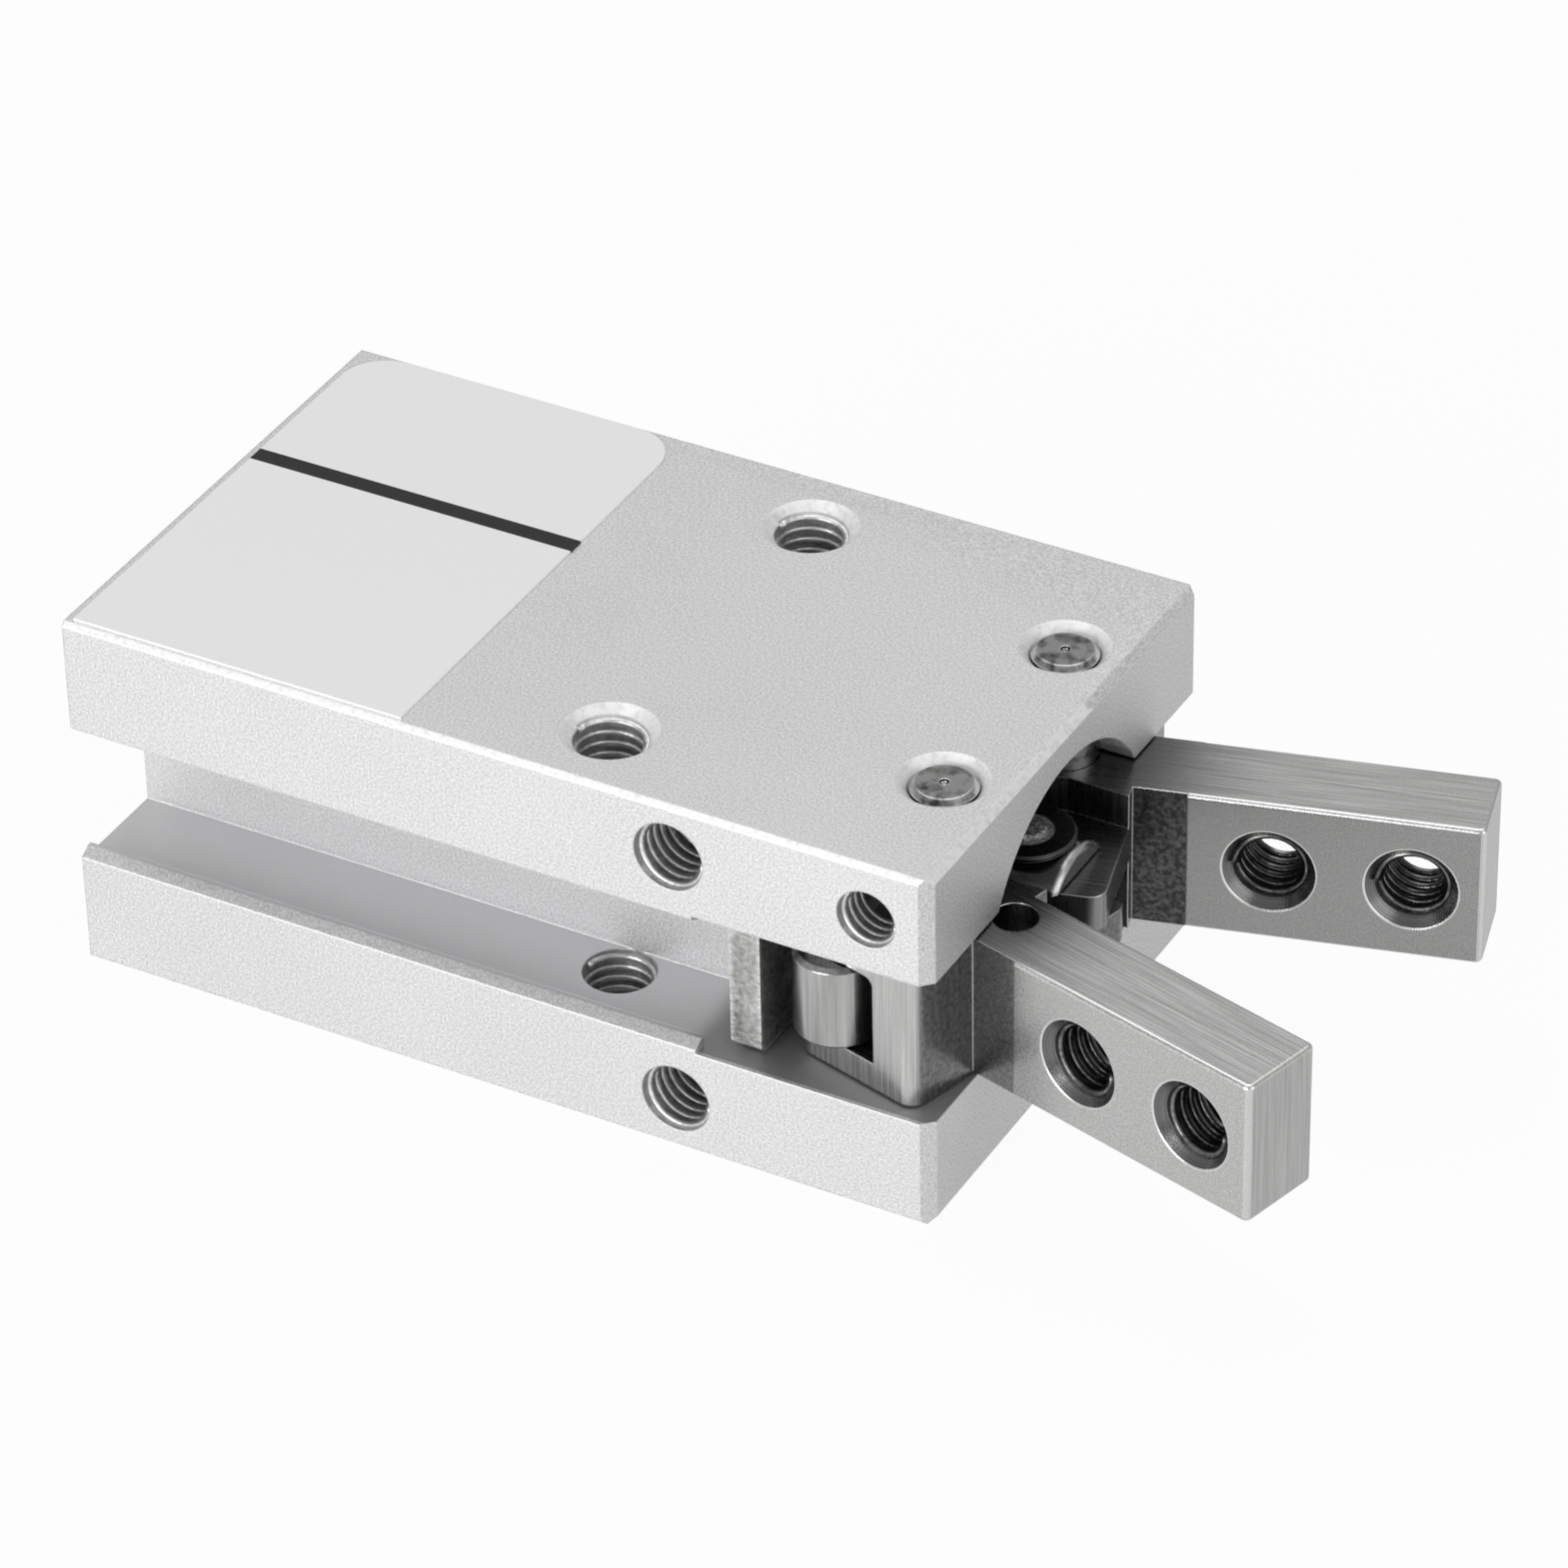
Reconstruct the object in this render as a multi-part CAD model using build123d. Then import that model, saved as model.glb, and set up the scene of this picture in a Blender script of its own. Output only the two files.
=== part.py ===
from build123d import *

import math
import os

# Compact double-acting angular gripper: an aluminium body with a 10 mm cylinder, whose piston rod
# swings two steel fingers about lever shafts.
# Frame: origin on the piston axis at the rear face, +X towards the fingers, +Z up through the label.
# Every length is in millimetres. The model is drawn with the fingers fully open, the piston forward.

# Body
BODY_LENGTH = 38.6
BODY_WIDTH = 23.0
BODY_HEIGHT = 16.4
BORE_DIAMETER = 10.0
BORE_WALL = 1.6
EDGE_BREAK = 0.2
FRONT_CORNER_CHAMFER = 0.5
FRONT_EDGE_CHAMFER = 0.3

# Sensor channel along the right side
LIP_HEIGHT = 0.45
LIP_WIDTH = 0.7
LIP_FLAT = 0.2
LIP_CHAMFER = 0.3
POCKET_LENGTH = 10.35

# Head pocket and the round relief that opens it to the front
FINGER_HEIGHT = 6.4
FINGER_PLAY = 0.1
RELIEF_DIAMETER = 13.4

# Tapped holes, drawn at the thread's major diameter
THREAD_RADIUS = 1.5
COUNTERSINK_RADIUS = 1.95
MOUNT_HOLE_SETBACK = 15.66
MOUNT_HOLE_INSET = 3.4
SIDE_HOLE_SETBACK = 11.3
SIDE_HOLE_PITCH = 11.6
SIDE_HOLE_DEPTH = 5.0
REAR_HOLE_INSET_Y = 3.5
REAR_HOLE_INSET_Z = 2.5
REAR_HOLE_DEPTH = 6.0
PORT_DEPTH = 4.0
PORT_DRILL_RADIUS = 0.4
PORT_OFFSET = 0.65
SET_SCREW_RADIUS = 1.25
SET_SCREW_LENGTH = 2.6
SET_SCREW_KEY = 1.27
SET_SCREW_KEY_DEPTH = 1.2

# Lever shafts
PIVOT_SETBACK = 2.72
PIVOT_INSET = 6.4
SHAFT_RADIUS = 1.38
SHAFT_RECESS = 0.12
SHAFT_SINK_RADIUS = 1.85
SHAFT_CHAMFER = 0.22
SHAFT_DIMPLE = 0.2

# Finger, in its own frame: u along the finger from the lever shaft, v outwards
OPEN_ANGLE = 15.0
CLOSED_ANGLE = -5.0
FINGER_REACH = 17.2
FINGER_THICKNESS = 3.8
FINGER_GRIND = 0.1
GRIND_START = 5.3
ROOT_FRONT = 3.1
ROOT_INSET = 1.2
ROOT_REAR = 3.0
ROOT_CORNER_RADIUS = 0.7
HUB_WALL = 0.33
HUB_FLARE = 2.45
HUB_FLARE_START = 0.5
HUB_RELIEF_U = 1.6
HUB_RELIEF_V = 0.3
FINGER_EDGE = 0.18
TIP_RADIUS = 0.3
TIP_HOLE_SETBACK = 2.9
TIP_HOLE_PITCH = 5.7
TIP_COUNTERSINK_RADIUS = 1.9
TOOLING_HOLE_U = 3.4
TOOLING_HOLE_V = -0.3
TOOLING_HOLE_RADIUS = 0.93
TOOLING_HOLE_DEPTH = 1.6

# Inner ears, one finger's above the other's, which take the pusher pin
EAR_THICKNESS = 1.57
EAR_GAP = 0.1
EAR_OVERLAP = 2.2
EAR_REAR = 2.2
EAR_CORNER_RADIUS = 0.7
EAR_PIN_SETBACK = 0.383
EAR_SLOT_TRAVEL = 0.16

# Outer fork with its side roller
FORK_HEIGHT = 4.0
FORK_FRONT = 1.0
FORK_CORNER_RADIUS = 0.4
FORK_FLOOR = 2.2
ROLLER_U = -1.67
ROLLER_INSET = 0.91
ROLLER_RADIUS = 1.8
ROLLER_HEIGHT = 3.84
ROLLER_EDGE = 0.2
ROLLER_PIN_RADIUS = 0.6
ROLLER_PIN_INSET = 0.1

# Piston, rod, crosshead and pusher
ROD_RADIUS = 2.5
STUD_RADIUS = 1.5
STUD_LENGTH = 3.9
CROSSHEAD_SETBACK = 5.22
CROSSHEAD_THICKNESS = 1.36
CROSSHEAD_INSET = 1.0
CROSSHEAD_PLAY = 0.15
CROSSHEAD_EDGE = 0.25
CROSSHEAD_REAR_GAP = 0.2
PUSHER_RADIUS = 2.65
PUSHER_NOSE = 2.25
PUSHER_SLOT_PLAY = 0.08
PUSHER_SLOT_DEPTH = 2.85
PUSHER_CHAMFER = 0.16
PUSHER_PIN_RADIUS = 1.05
PUSHER_PIN_END_RADIUS = 0.75
PUSHER_PIN_INSET = 0.05
PUSHER_PIN_EDGE = 0.12
COLLAR_RADIUS = 1.95
COLLAR_THICKNESS = 0.3
PISTON_PLAY = 0.05
PISTON_END_RADIUS = 4.4
PISTON_END_LENGTH = 1.0
SEAL_GROOVE_RADIUS = 3.6
SEAL_WIDTH = 1.5
SEAL_LIP_SHARE = 0.34
MAGNET_GROOVE_RADIUS = 3.4
MAGNET_WIDTH = 1.9

# Rear closure and rod guide
PILOT_RADIUS = 5.5
PILOT_DEPTH = 1.6
RING_LAND = 0.7
RING_THICKNESS = 0.6
RING_GROOVE_DEPTH = 0.4
RING_WIDTH = 1.0
RING_OPENING = 1.6
RING_EYE_RADIUS = 0.85
RING_EYE_HOLE = 0.4
RING_EYE_DROP = 4.1
CAP_THICKNESS = 2.95
CAP_RECESS_DEPTH = 1.0
REAR_BUMPER_THICKNESS = 0.9
FRONT_BUMPER_THICKNESS = 1.25
BUMPER_RADIUS = 4.0
STOP_GAP = 0.15
GUIDE_LENGTH = 6.1
FRONT_WALL = 2.0
FRONT_WALL_PLAY = 0.3
ROD_SEAL_RADIUS = 3.9
ROD_SEAL_WIDTH = 2.4
O_RING_SECTION = 0.38
O_RING_GROOVE_WIDTH = 1.2

# Label
LABEL_LENGTH = 15.0
LABEL_MARGIN = 0.35
LABEL_THICKNESS = 0.1
LABEL_CORNER_RADIUS = 2.0

# Clearances
SEATED = 0.02
RUNNING = 0.04
PIN_SLIDE = 0.05
CUT_OVER = 1.0

# Worked-out places in the body
HALF_WIDTH = BODY_WIDTH / 2
HALF_HEIGHT = BODY_HEIGHT / 2
HALF_FINGER = FINGER_HEIGHT / 2
BORE_RADIUS = BORE_DIAMETER / 2
WEB_HALF = BORE_RADIUS + BORE_WALL
POCKET_HALF = HALF_FINGER + FINGER_PLAY
PIVOT_X = BODY_LENGTH - PIVOT_SETBACK
PIVOT_OFFSET = HALF_WIDTH - PIVOT_INSET
ROOT_OUTER = HALF_WIDTH - PIVOT_OFFSET - ROOT_INSET
ROLLER_V = ROOT_OUTER - ROLLER_INSET
EAR_REACH = PIVOT_OFFSET + EAR_OVERLAP
MOUNT_HOLE_Y = HALF_WIDTH - MOUNT_HOLE_INSET
REAR_HOLE_Y = HALF_WIDTH - REAR_HOLE_INSET_Y
REAR_HOLE_Z = HALF_HEIGHT - REAR_HOLE_INSET_Z
FLANGE_MID = (HALF_HEIGHT + HALF_FINGER) / 2
SHAFT_HOLE_RADIUS = SHAFT_RADIUS + SEATED


def pin_advance(angle: float) -> float:
    """Distance of the pusher pin in front of the lever shafts when a finger stands at an angle."""
    turn = math.radians(angle)
    return (PIVOT_OFFSET * math.sin(turn) - EAR_PIN_SETBACK) / math.cos(turn)


# Worked-out places along the piston axis
STROKE = pin_advance(OPEN_ANGLE) - pin_advance(CLOSED_ANGLE)
PUSHER_PIN_X = PIVOT_X + pin_advance(OPEN_ANGLE)
CROSSHEAD_FRONT = PIVOT_X - CROSSHEAD_SETBACK
CROSSHEAD_REAR = CROSSHEAD_FRONT - CROSSHEAD_THICKNESS
WEB_FRONT = CROSSHEAD_REAR - STROKE - CROSSHEAD_REAR_GAP
GUIDE_FRONT = WEB_FRONT - FRONT_WALL
GUIDE_REAR = GUIDE_FRONT - GUIDE_LENGTH
RING_GROOVE_X = PILOT_DEPTH + RING_LAND
RING_GROOVE_WIDTH = RING_THICKNESS + PIN_SLIDE * 2
CAP_REAR = RING_GROOVE_X + RING_GROOVE_WIDTH
CAP_FRONT = CAP_REAR + CAP_THICKNESS
PISTON_REAR = CAP_FRONT + REAR_BUMPER_THICKNESS + STOP_GAP + STROKE
PISTON_FRONT = GUIDE_REAR - FRONT_BUMPER_THICKNESS - STOP_GAP
PISTON_LENGTH = PISTON_FRONT - PISTON_REAR
SIDES = {"left": 1, "right": -1}


def along_x(radius: float, start: float, end: float) -> Part:
    """A solid cylinder on the piston axis."""
    return Pos((start + end) / 2, 0, 0) * Rot(0, 90, 0) * Cylinder(radius, end - start)


def ring_x(outer: float, inner: float, start: float, end: float) -> Part:
    """A plain ring on the piston axis."""
    return along_x(outer, start, end) - along_x(inner, start - CUT_OVER, end + CUT_OVER)


def along_y(x: float, z: float, radius: float, start: float, end: float) -> Part:
    """A cylinder across the body between two values of Y."""
    return Pos(x, (start + end) / 2, z) * Rot(90, 0, 0) * Cylinder(radius, abs(end - start))


def along_z(x: float, y: float, radius: float, start: float, end: float) -> Part:
    """An upright cylinder between two heights."""
    return Pos(x, y, (start + end) / 2) * Cylinder(radius, abs(end - start))


def slab(x: tuple, y: tuple, z: tuple) -> Part:
    """A box given by its limits along each axis."""
    middle = [(low + high) / 2 for low, high in (x, y, z)]
    return Pos(*middle) * Box(*[high - low for low, high in (x, y, z)])


def o_ring(bore_radius: float, middle: float) -> Part:
    """A round-section seal that just meets the bore around it."""
    return Pos(middle, 0, 0) * Rot(0, 90, 0) * Torus(bore_radius - SEATED - O_RING_SECTION, O_RING_SECTION)


def o_ring_groove(bore_radius: float, middle: float) -> Part:
    """The ring-shaped cut that holds an o_ring."""
    floor = bore_radius - 2 * (O_RING_SECTION + SEATED)
    half = O_RING_GROOVE_WIDTH / 2
    return ring_x(bore_radius + CUT_OVER, floor, middle - half, middle + half)


def face_countersink(radius: float, hole_radius: float) -> Part:
    """A 90 degree countersink whose wide end lies on the XY plane, pointing down."""
    depth = radius - hole_radius
    return Pos(0, 0, -depth / 2) * Cone(hole_radius, radius, depth)


def channel_profile() -> Face:
    """The lipped section of the sensor channel, from the web outwards."""
    half = POCKET_HALF
    inner_lip = HALF_WIDTH - LIP_WIDTH
    flat_end = inner_lip + LIP_FLAT
    opening = half - LIP_HEIGHT
    upper = [
        (WEB_HALF, half),
        (inner_lip, half),
        (inner_lip, opening),
        (flat_end, opening),
        (HALF_WIDTH, opening + LIP_CHAMFER),
        (HALF_WIDTH + CUT_OVER, opening + LIP_CHAMFER),
    ]
    lower = [(y, -z) for y, z in reversed(upper)]
    return make_face(Plane.YZ * Polyline(*[(-y, z) for y, z in upper + lower], close=True))


def body_blank() -> Part:
    """The outer block with its chamfered front and broken edges."""
    block = slab((0, BODY_LENGTH), (-HALF_WIDTH, HALF_WIDTH), (-HALF_HEIGHT, HALF_HEIGHT))
    uprights = block.edges().filter_by(Axis.Z).sort_by(Axis.X)[-2:]
    block = chamfer(uprights, FRONT_CORNER_CHAMFER)
    front_rims = block.faces().sort_by(Axis.X)[-1].edges().filter_by(Axis.Y)
    block = chamfer(front_rims, FRONT_EDGE_CHAMFER)
    return chamfer(block.edges().filter_by(Axis.X), EDGE_BREAK)


def through_hole(x: float, y: float, radius: float, sink_radius: float) -> list:
    """An upright hole through the whole body, countersunk at its top and bottom."""
    reach = HALF_HEIGHT + CUT_OVER
    sink = face_countersink(sink_radius, radius)
    return [
        along_z(x, y, radius, -reach, reach),
        Pos(x, y, HALF_HEIGHT) * sink,
        Pos(x, y, -HALF_HEIGHT) * Rot(0, 180, 0) * sink,
    ]


def body_threads() -> list:
    """The tapped holes of the body, each as the solid to cut."""
    cuts = []
    mount_x = BODY_LENGTH - MOUNT_HOLE_SETBACK
    for side in SIDES.values():
        cuts += through_hole(mount_x, side * MOUNT_HOLE_Y, THREAD_RADIUS, COUNTERSINK_RADIUS)
    side_x = BODY_LENGTH - SIDE_HOLE_SETBACK
    for side in SIDES.values():
        for z in (-SIDE_HOLE_PITCH / 2, SIDE_HOLE_PITCH / 2):
            depth = side * (HALF_WIDTH - SIDE_HOLE_DEPTH)
            cuts.append(along_y(side_x, z, THREAD_RADIUS, depth, side * (HALF_WIDTH + CUT_OVER)))
        inner = side * PIVOT_OFFSET
        cuts.append(along_y(PIVOT_X, FLANGE_MID, SET_SCREW_RADIUS, inner, side * (HALF_WIDTH + CUT_OVER)))
        for z in (-REAR_HOLE_Z, REAR_HOLE_Z):
            hole = along_x(THREAD_RADIUS, -CUT_OVER, REAR_HOLE_DEPTH)
            cuts.append(Pos(0, side * REAR_HOLE_Y, z) * hole)
    return cuts


def port_places() -> list:
    """X places of the two air ports, one for each end of the cylinder."""
    return [CAP_FRONT + REAR_BUMPER_THICKNESS + PORT_OFFSET, GUIDE_REAR - PORT_OFFSET]


def body_cylinder() -> list:
    """The cuts of the cylinder: pilot recess, ring groove, bore, rod hole and air ports."""
    cuts = [
        along_x(PILOT_RADIUS, -CUT_OVER, PILOT_DEPTH),
        along_x(BORE_RADIUS, 0, GUIDE_FRONT),
        along_x(BORE_RADIUS + RING_GROOVE_DEPTH, RING_GROOVE_X, RING_GROOVE_X + RING_GROOVE_WIDTH),
        along_x(ROD_RADIUS + FRONT_WALL_PLAY, 0, BODY_LENGTH),
    ]
    for x in port_places():
        cuts.append(along_y(x, 0, THREAD_RADIUS, HALF_WIDTH - PORT_DEPTH, HALF_WIDTH + CUT_OVER))
        cuts.append(along_y(x, 0, PORT_DRILL_RADIUS, 0, HALF_WIDTH))
    return cuts


def make_body() -> Part:
    """Aluminium body: two flanges joined by the web around the cylinder."""
    front = BODY_LENGTH + CUT_OVER
    reach = HALF_WIDTH + CUT_OVER
    wing_room = HALF_WIDTH - LIP_WIDTH
    pocket_start = BODY_LENGTH - POCKET_LENGTH
    body = body_blank()
    body -= extrude(channel_profile(), amount=pocket_start)
    body -= slab((pocket_start, front), (-reach, reach), (-POCKET_HALF, POCKET_HALF))
    body -= slab((WEB_FRONT, front), (-wing_room, wing_room), (-POCKET_HALF, POCKET_HALF))
    body -= along_x(RELIEF_DIAMETER / 2, WEB_FRONT, front)
    cuts = body_cylinder() + body_threads()
    for side in SIDES.values():
        cuts += through_hole(PIVOT_X, side * PIVOT_OFFSET, SHAFT_HOLE_RADIUS, SHAFT_SINK_RADIUS)
    for cut in cuts:
        body -= cut
    return body


def make_label() -> Part:
    """Thin film label on the top face, left bare, square along the right edge of the body."""
    width = BODY_WIDTH - 2 * LABEL_MARGIN
    film = Pos(LABEL_MARGIN + LABEL_LENGTH / 2, 0, HALF_HEIGHT + LABEL_THICKNESS / 2)
    film = film * Box(LABEL_LENGTH, width, LABEL_THICKNESS)
    corners = film.edges().filter_by(Axis.Z).sort_by(Axis.Y)[-2:]
    return fillet(corners, LABEL_CORNER_RADIUS)


def make_rear_cap() -> Part:
    """Plug that closes the rear of the cylinder, with a seal groove and a small key recess."""
    middle = (CAP_REAR + CAP_FRONT) / 2
    cap = along_x(BORE_RADIUS - SEATED, CAP_REAR, CAP_FRONT)
    cap = chamfer(cap.edges().filter_by(GeomType.CIRCLE), EDGE_BREAK)
    cap -= o_ring_groove(BORE_RADIUS, middle)
    return cap - along_x(STUD_RADIUS, CAP_REAR - CUT_OVER, CAP_REAR + CAP_RECESS_DEPTH)


def make_retaining_ring() -> Part:
    """Open spring ring in the groove behind the rear cap."""
    outer = BORE_RADIUS + RING_GROOVE_DEPTH - SEATED
    start = RING_GROOVE_X + PIN_SLIDE
    ring = ring_x(outer, outer - RING_WIDTH, start, start + RING_THICKNESS)
    gap = slab((0, CAP_FRONT), (-RING_OPENING / 2, RING_OPENING / 2), (-PILOT_RADIUS, 0))
    ring -= gap
    for side in SIDES.values():
        eye = along_x(RING_EYE_RADIUS, start, start + RING_THICKNESS)
        ring += Pos(0, side * (RING_OPENING / 2 + RING_EYE_RADIUS), -RING_EYE_DROP) * eye
    for side in SIDES.values():
        eye = along_x(RING_EYE_HOLE, start - CUT_OVER, start + RING_THICKNESS + CUT_OVER)
        ring -= Pos(0, side * (RING_OPENING / 2 + RING_EYE_RADIUS), -RING_EYE_DROP) * eye
    return ring


def make_rear_bumper() -> Part:
    """Soft disc on the rear cap that stops the piston."""
    return along_x(BUMPER_RADIUS, CAP_FRONT, CAP_FRONT + REAR_BUMPER_THICKNESS)


def make_front_bumper() -> Part:
    """Soft ring on the rod guide that stops the piston."""
    return ring_x(BUMPER_RADIUS, ROD_RADIUS + FRONT_WALL_PLAY, GUIDE_REAR - FRONT_BUMPER_THICKNESS, GUIDE_REAR)


def make_rod_guide() -> Part:
    """Bush that carries the rod, with an outer seal groove and a seat for the rod seal."""
    guide = ring_x(BORE_RADIUS - SEATED, ROD_RADIUS + RUNNING, GUIDE_REAR, GUIDE_FRONT)
    guide -= o_ring_groove(BORE_RADIUS, (GUIDE_REAR + GUIDE_FRONT - ROD_SEAL_WIDTH) / 2)
    return guide - along_x(ROD_SEAL_RADIUS, GUIDE_FRONT - ROD_SEAL_WIDTH, GUIDE_FRONT + CUT_OVER)


def make_rod_seal() -> Part:
    """Lipped ring between the rod guide and the rod."""
    start = GUIDE_FRONT - ROD_SEAL_WIDTH
    outer = ROD_SEAL_RADIUS - SEATED
    inner = ROD_RADIUS + RUNNING
    lip = SEAL_LIP_SHARE * (outer - inner)
    seal = ring_x(outer, inner, start, GUIDE_FRONT - PIN_SLIDE)
    return seal - ring_x(outer - lip, inner + lip, start - CUT_OVER, start + ROD_SEAL_WIDTH / 2)


def make_lever_shaft(side: int) -> Part:
    """Upright pin that a finger turns on, domed by a chamfer and dimpled at its top."""
    top = HALF_HEIGHT - SHAFT_RECESS
    shaft = along_z(PIVOT_X, side * PIVOT_OFFSET, SHAFT_RADIUS, -top, top)
    shaft = chamfer(shaft.edges().filter_by(GeomType.CIRCLE), SHAFT_CHAMFER)
    dimple = Pos(PIVOT_X, side * PIVOT_OFFSET, top) * Sphere(SHAFT_DIMPLE)
    return shaft - dimple


def make_set_screw(side: int) -> Part:
    """Headless screw with a hexagon socket that clamps a lever shaft."""
    point = PIVOT_OFFSET + SHAFT_RADIUS + SEATED
    screw = along_y(PIVOT_X, FLANGE_MID, SET_SCREW_RADIUS - SEATED, side * point, side * (point + SET_SCREW_LENGTH))
    screw = chamfer(screw.edges().filter_by(GeomType.CIRCLE), EDGE_BREAK)
    socket = extrude(RegularPolygon(SET_SCREW_KEY / 2, 6, major_radius=False), amount=SET_SCREW_KEY_DEPTH)
    mouth = Pos(PIVOT_X, side * (point + SET_SCREW_LENGTH), FLANGE_MID) * Rot(90 * side, 0, 0) * socket
    return screw - mouth


def make_piston() -> Part:
    """Piston and rod in one piece, with grooves for the seal and the magnet and a threaded stud."""
    seal_start, magnet_start = piston_grooves()
    piston = along_x(BORE_RADIUS - PISTON_PLAY, PISTON_REAR + PISTON_END_LENGTH, PISTON_FRONT - PISTON_END_LENGTH)
    piston += along_x(PISTON_END_RADIUS, PISTON_REAR, PISTON_FRONT)
    piston -= ring_x(BORE_RADIUS + CUT_OVER, SEAL_GROOVE_RADIUS, seal_start, seal_start + SEAL_WIDTH)
    piston -= ring_x(BORE_RADIUS + CUT_OVER, MAGNET_GROOVE_RADIUS, magnet_start, magnet_start + MAGNET_WIDTH)
    piston += along_x(ROD_RADIUS, PISTON_FRONT - CUT_OVER, CROSSHEAD_REAR)
    return piston + along_x(STUD_RADIUS, CROSSHEAD_REAR - CUT_OVER, CROSSHEAD_REAR + STUD_LENGTH)


def piston_grooves() -> tuple:
    """Rear walls of the seal groove and the magnet groove, at even spacing along the piston."""
    land = (PISTON_LENGTH - 2 * PISTON_END_LENGTH - SEAL_WIDTH - MAGNET_WIDTH) / 3
    seal_start = PISTON_REAR + PISTON_END_LENGTH + land
    return seal_start, seal_start + SEAL_WIDTH + land


def make_piston_seal() -> Part:
    """Double-lipped rubber ring of the piston."""
    start = piston_grooves()[0] + PIN_SLIDE
    end = start + SEAL_WIDTH - 2 * PIN_SLIDE
    lip = SEAL_LIP_SHARE * (end - start)
    outer = BORE_RADIUS - SEATED
    seal = ring_x(outer, SEAL_GROOVE_RADIUS + SEATED, start, end)
    return seal - ring_x(outer + CUT_OVER, outer - O_RING_SECTION, start + lip, end - lip)


def make_magnet_ring() -> Part:
    """Rubber-bonded magnet that the sensors in the side channel see."""
    start = piston_grooves()[1] + PIN_SLIDE
    end = start + MAGNET_WIDTH - 2 * PIN_SLIDE
    return ring_x(BORE_RADIUS - 3 * PISTON_PLAY, MAGNET_GROOVE_RADIUS + SEATED, start, end)


def make_crosshead() -> Part:
    """Plate on the rod that runs between the flanges and keeps the rod from turning."""
    wing = HALF_WIDTH - CROSSHEAD_INSET
    half = POCKET_HALF - CROSSHEAD_PLAY
    plate = slab((CROSSHEAD_REAR, CROSSHEAD_FRONT), (-wing, wing), (-half, half))
    plate = chamfer(plate.edges().filter_by(Axis.X), CROSSHEAD_EDGE)
    return plate - along_x(STUD_RADIUS + SEATED, CROSSHEAD_REAR - CUT_OVER, CROSSHEAD_FRONT + CUT_OVER)


def make_center_pusher() -> Part:
    """Forked rod end whose level slot takes both inner ears and whose pin drives them."""
    nose = PUSHER_PIN_X + PUSHER_NOSE
    slot_half = EAR_GAP / 2 + EAR_THICKNESS + PUSHER_SLOT_PLAY
    pusher = along_x(PUSHER_RADIUS, CROSSHEAD_FRONT, nose)
    pusher = chamfer(pusher.edges().filter_by(GeomType.CIRCLE), PUSHER_CHAMFER)
    pusher -= along_x(STUD_RADIUS + SEATED, CROSSHEAD_FRONT - CUT_OVER, CROSSHEAD_REAR + STUD_LENGTH + SEATED)
    room = PUSHER_RADIUS + CUT_OVER
    pusher -= slab((PUSHER_PIN_X - PUSHER_SLOT_DEPTH, nose + CUT_OVER), (-room, room), (-slot_half, slot_half))
    return pusher - along_z(PUSHER_PIN_X, 0, PUSHER_PIN_RADIUS + SEATED, -room, room)


def make_pusher_pin() -> Part:
    """Upright pin through the forked rod end and both inner ears, with a thinner end beyond each collar."""
    half = HALF_FINGER - PUSHER_PIN_INSET
    shoulder = PUSHER_RADIUS + SEATED + COLLAR_THICKNESS
    pin = along_z(PUSHER_PIN_X, 0, PUSHER_PIN_RADIUS, -shoulder, shoulder)
    pin += along_z(PUSHER_PIN_X, 0, PUSHER_PIN_END_RADIUS, -half, half)
    levels = pin.edges().filter_by(GeomType.CIRCLE).group_by(Axis.Z)
    return fillet(levels[0] + levels[-1], PUSHER_PIN_EDGE)


def make_pin_collar(up: int) -> Part:
    """Pressed-on ring that keeps the pusher pin in the rod end."""
    low = PUSHER_RADIUS + SEATED
    collar = along_z(PUSHER_PIN_X, 0, COLLAR_RADIUS, up * low, up * (low + COLLAR_THICKNESS))
    collar = chamfer(collar.edges().filter_by(GeomType.CIRCLE), COLLAR_THICKNESS / 4)
    return collar - along_z(PUSHER_PIN_X, 0, PUSHER_PIN_RADIUS + SEATED, 0, up * HALF_HEIGHT)


def root_plan() -> Face:
    """Outline of the finger's root seen from above, from the hub to where the ground bar starts."""
    hub_side = SHAFT_RADIUS + RUNNING + HUB_WALL
    strip = FINGER_THICKNESS / 2 - FINGER_GRIND
    points = [
        (-HUB_RELIEF_U, -hub_side),
        (HUB_FLARE_START, -hub_side),
        (ROOT_FRONT, -HUB_FLARE),
        (ROOT_FRONT, -strip),
        (GRIND_START, -strip),
        (GRIND_START, strip),
        (ROOT_FRONT, strip),
        (ROOT_FRONT, ROOT_OUTER),
        (-ROOT_REAR, ROOT_OUTER),
        (-ROOT_REAR, HUB_RELIEF_V),
    ]
    return make_face(Polyline(*points, close=True))


def upright_edges(part: Part, places: list) -> list:
    """The upright edges that stand at the given points of the plan."""
    found = []
    for u, v in places:
        found += [edge for edge in part.edges().filter_by(Axis.Z)
                  if abs(edge.center().X - u) < SEATED and abs(edge.center().Y - v) < SEATED]
    return found


def finger_bar() -> Part:
    """The ground bar, with its long edges and its tip rounded."""
    half = FINGER_THICKNESS / 2
    bar = slab((GRIND_START, FINGER_REACH), (-half, half), (-HALF_FINGER, HALF_FINGER))
    bar = fillet(upright_edges(bar, [(FINGER_REACH, half), (FINGER_REACH, -half)]), TIP_RADIUS)
    rims = [edge for edge in bar.edges()
            if edge.center().X > GRIND_START + SEATED and abs(abs(edge.center().Z) - HALF_FINGER) < SEATED]
    return fillet(rims, FINGER_EDGE)


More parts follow.
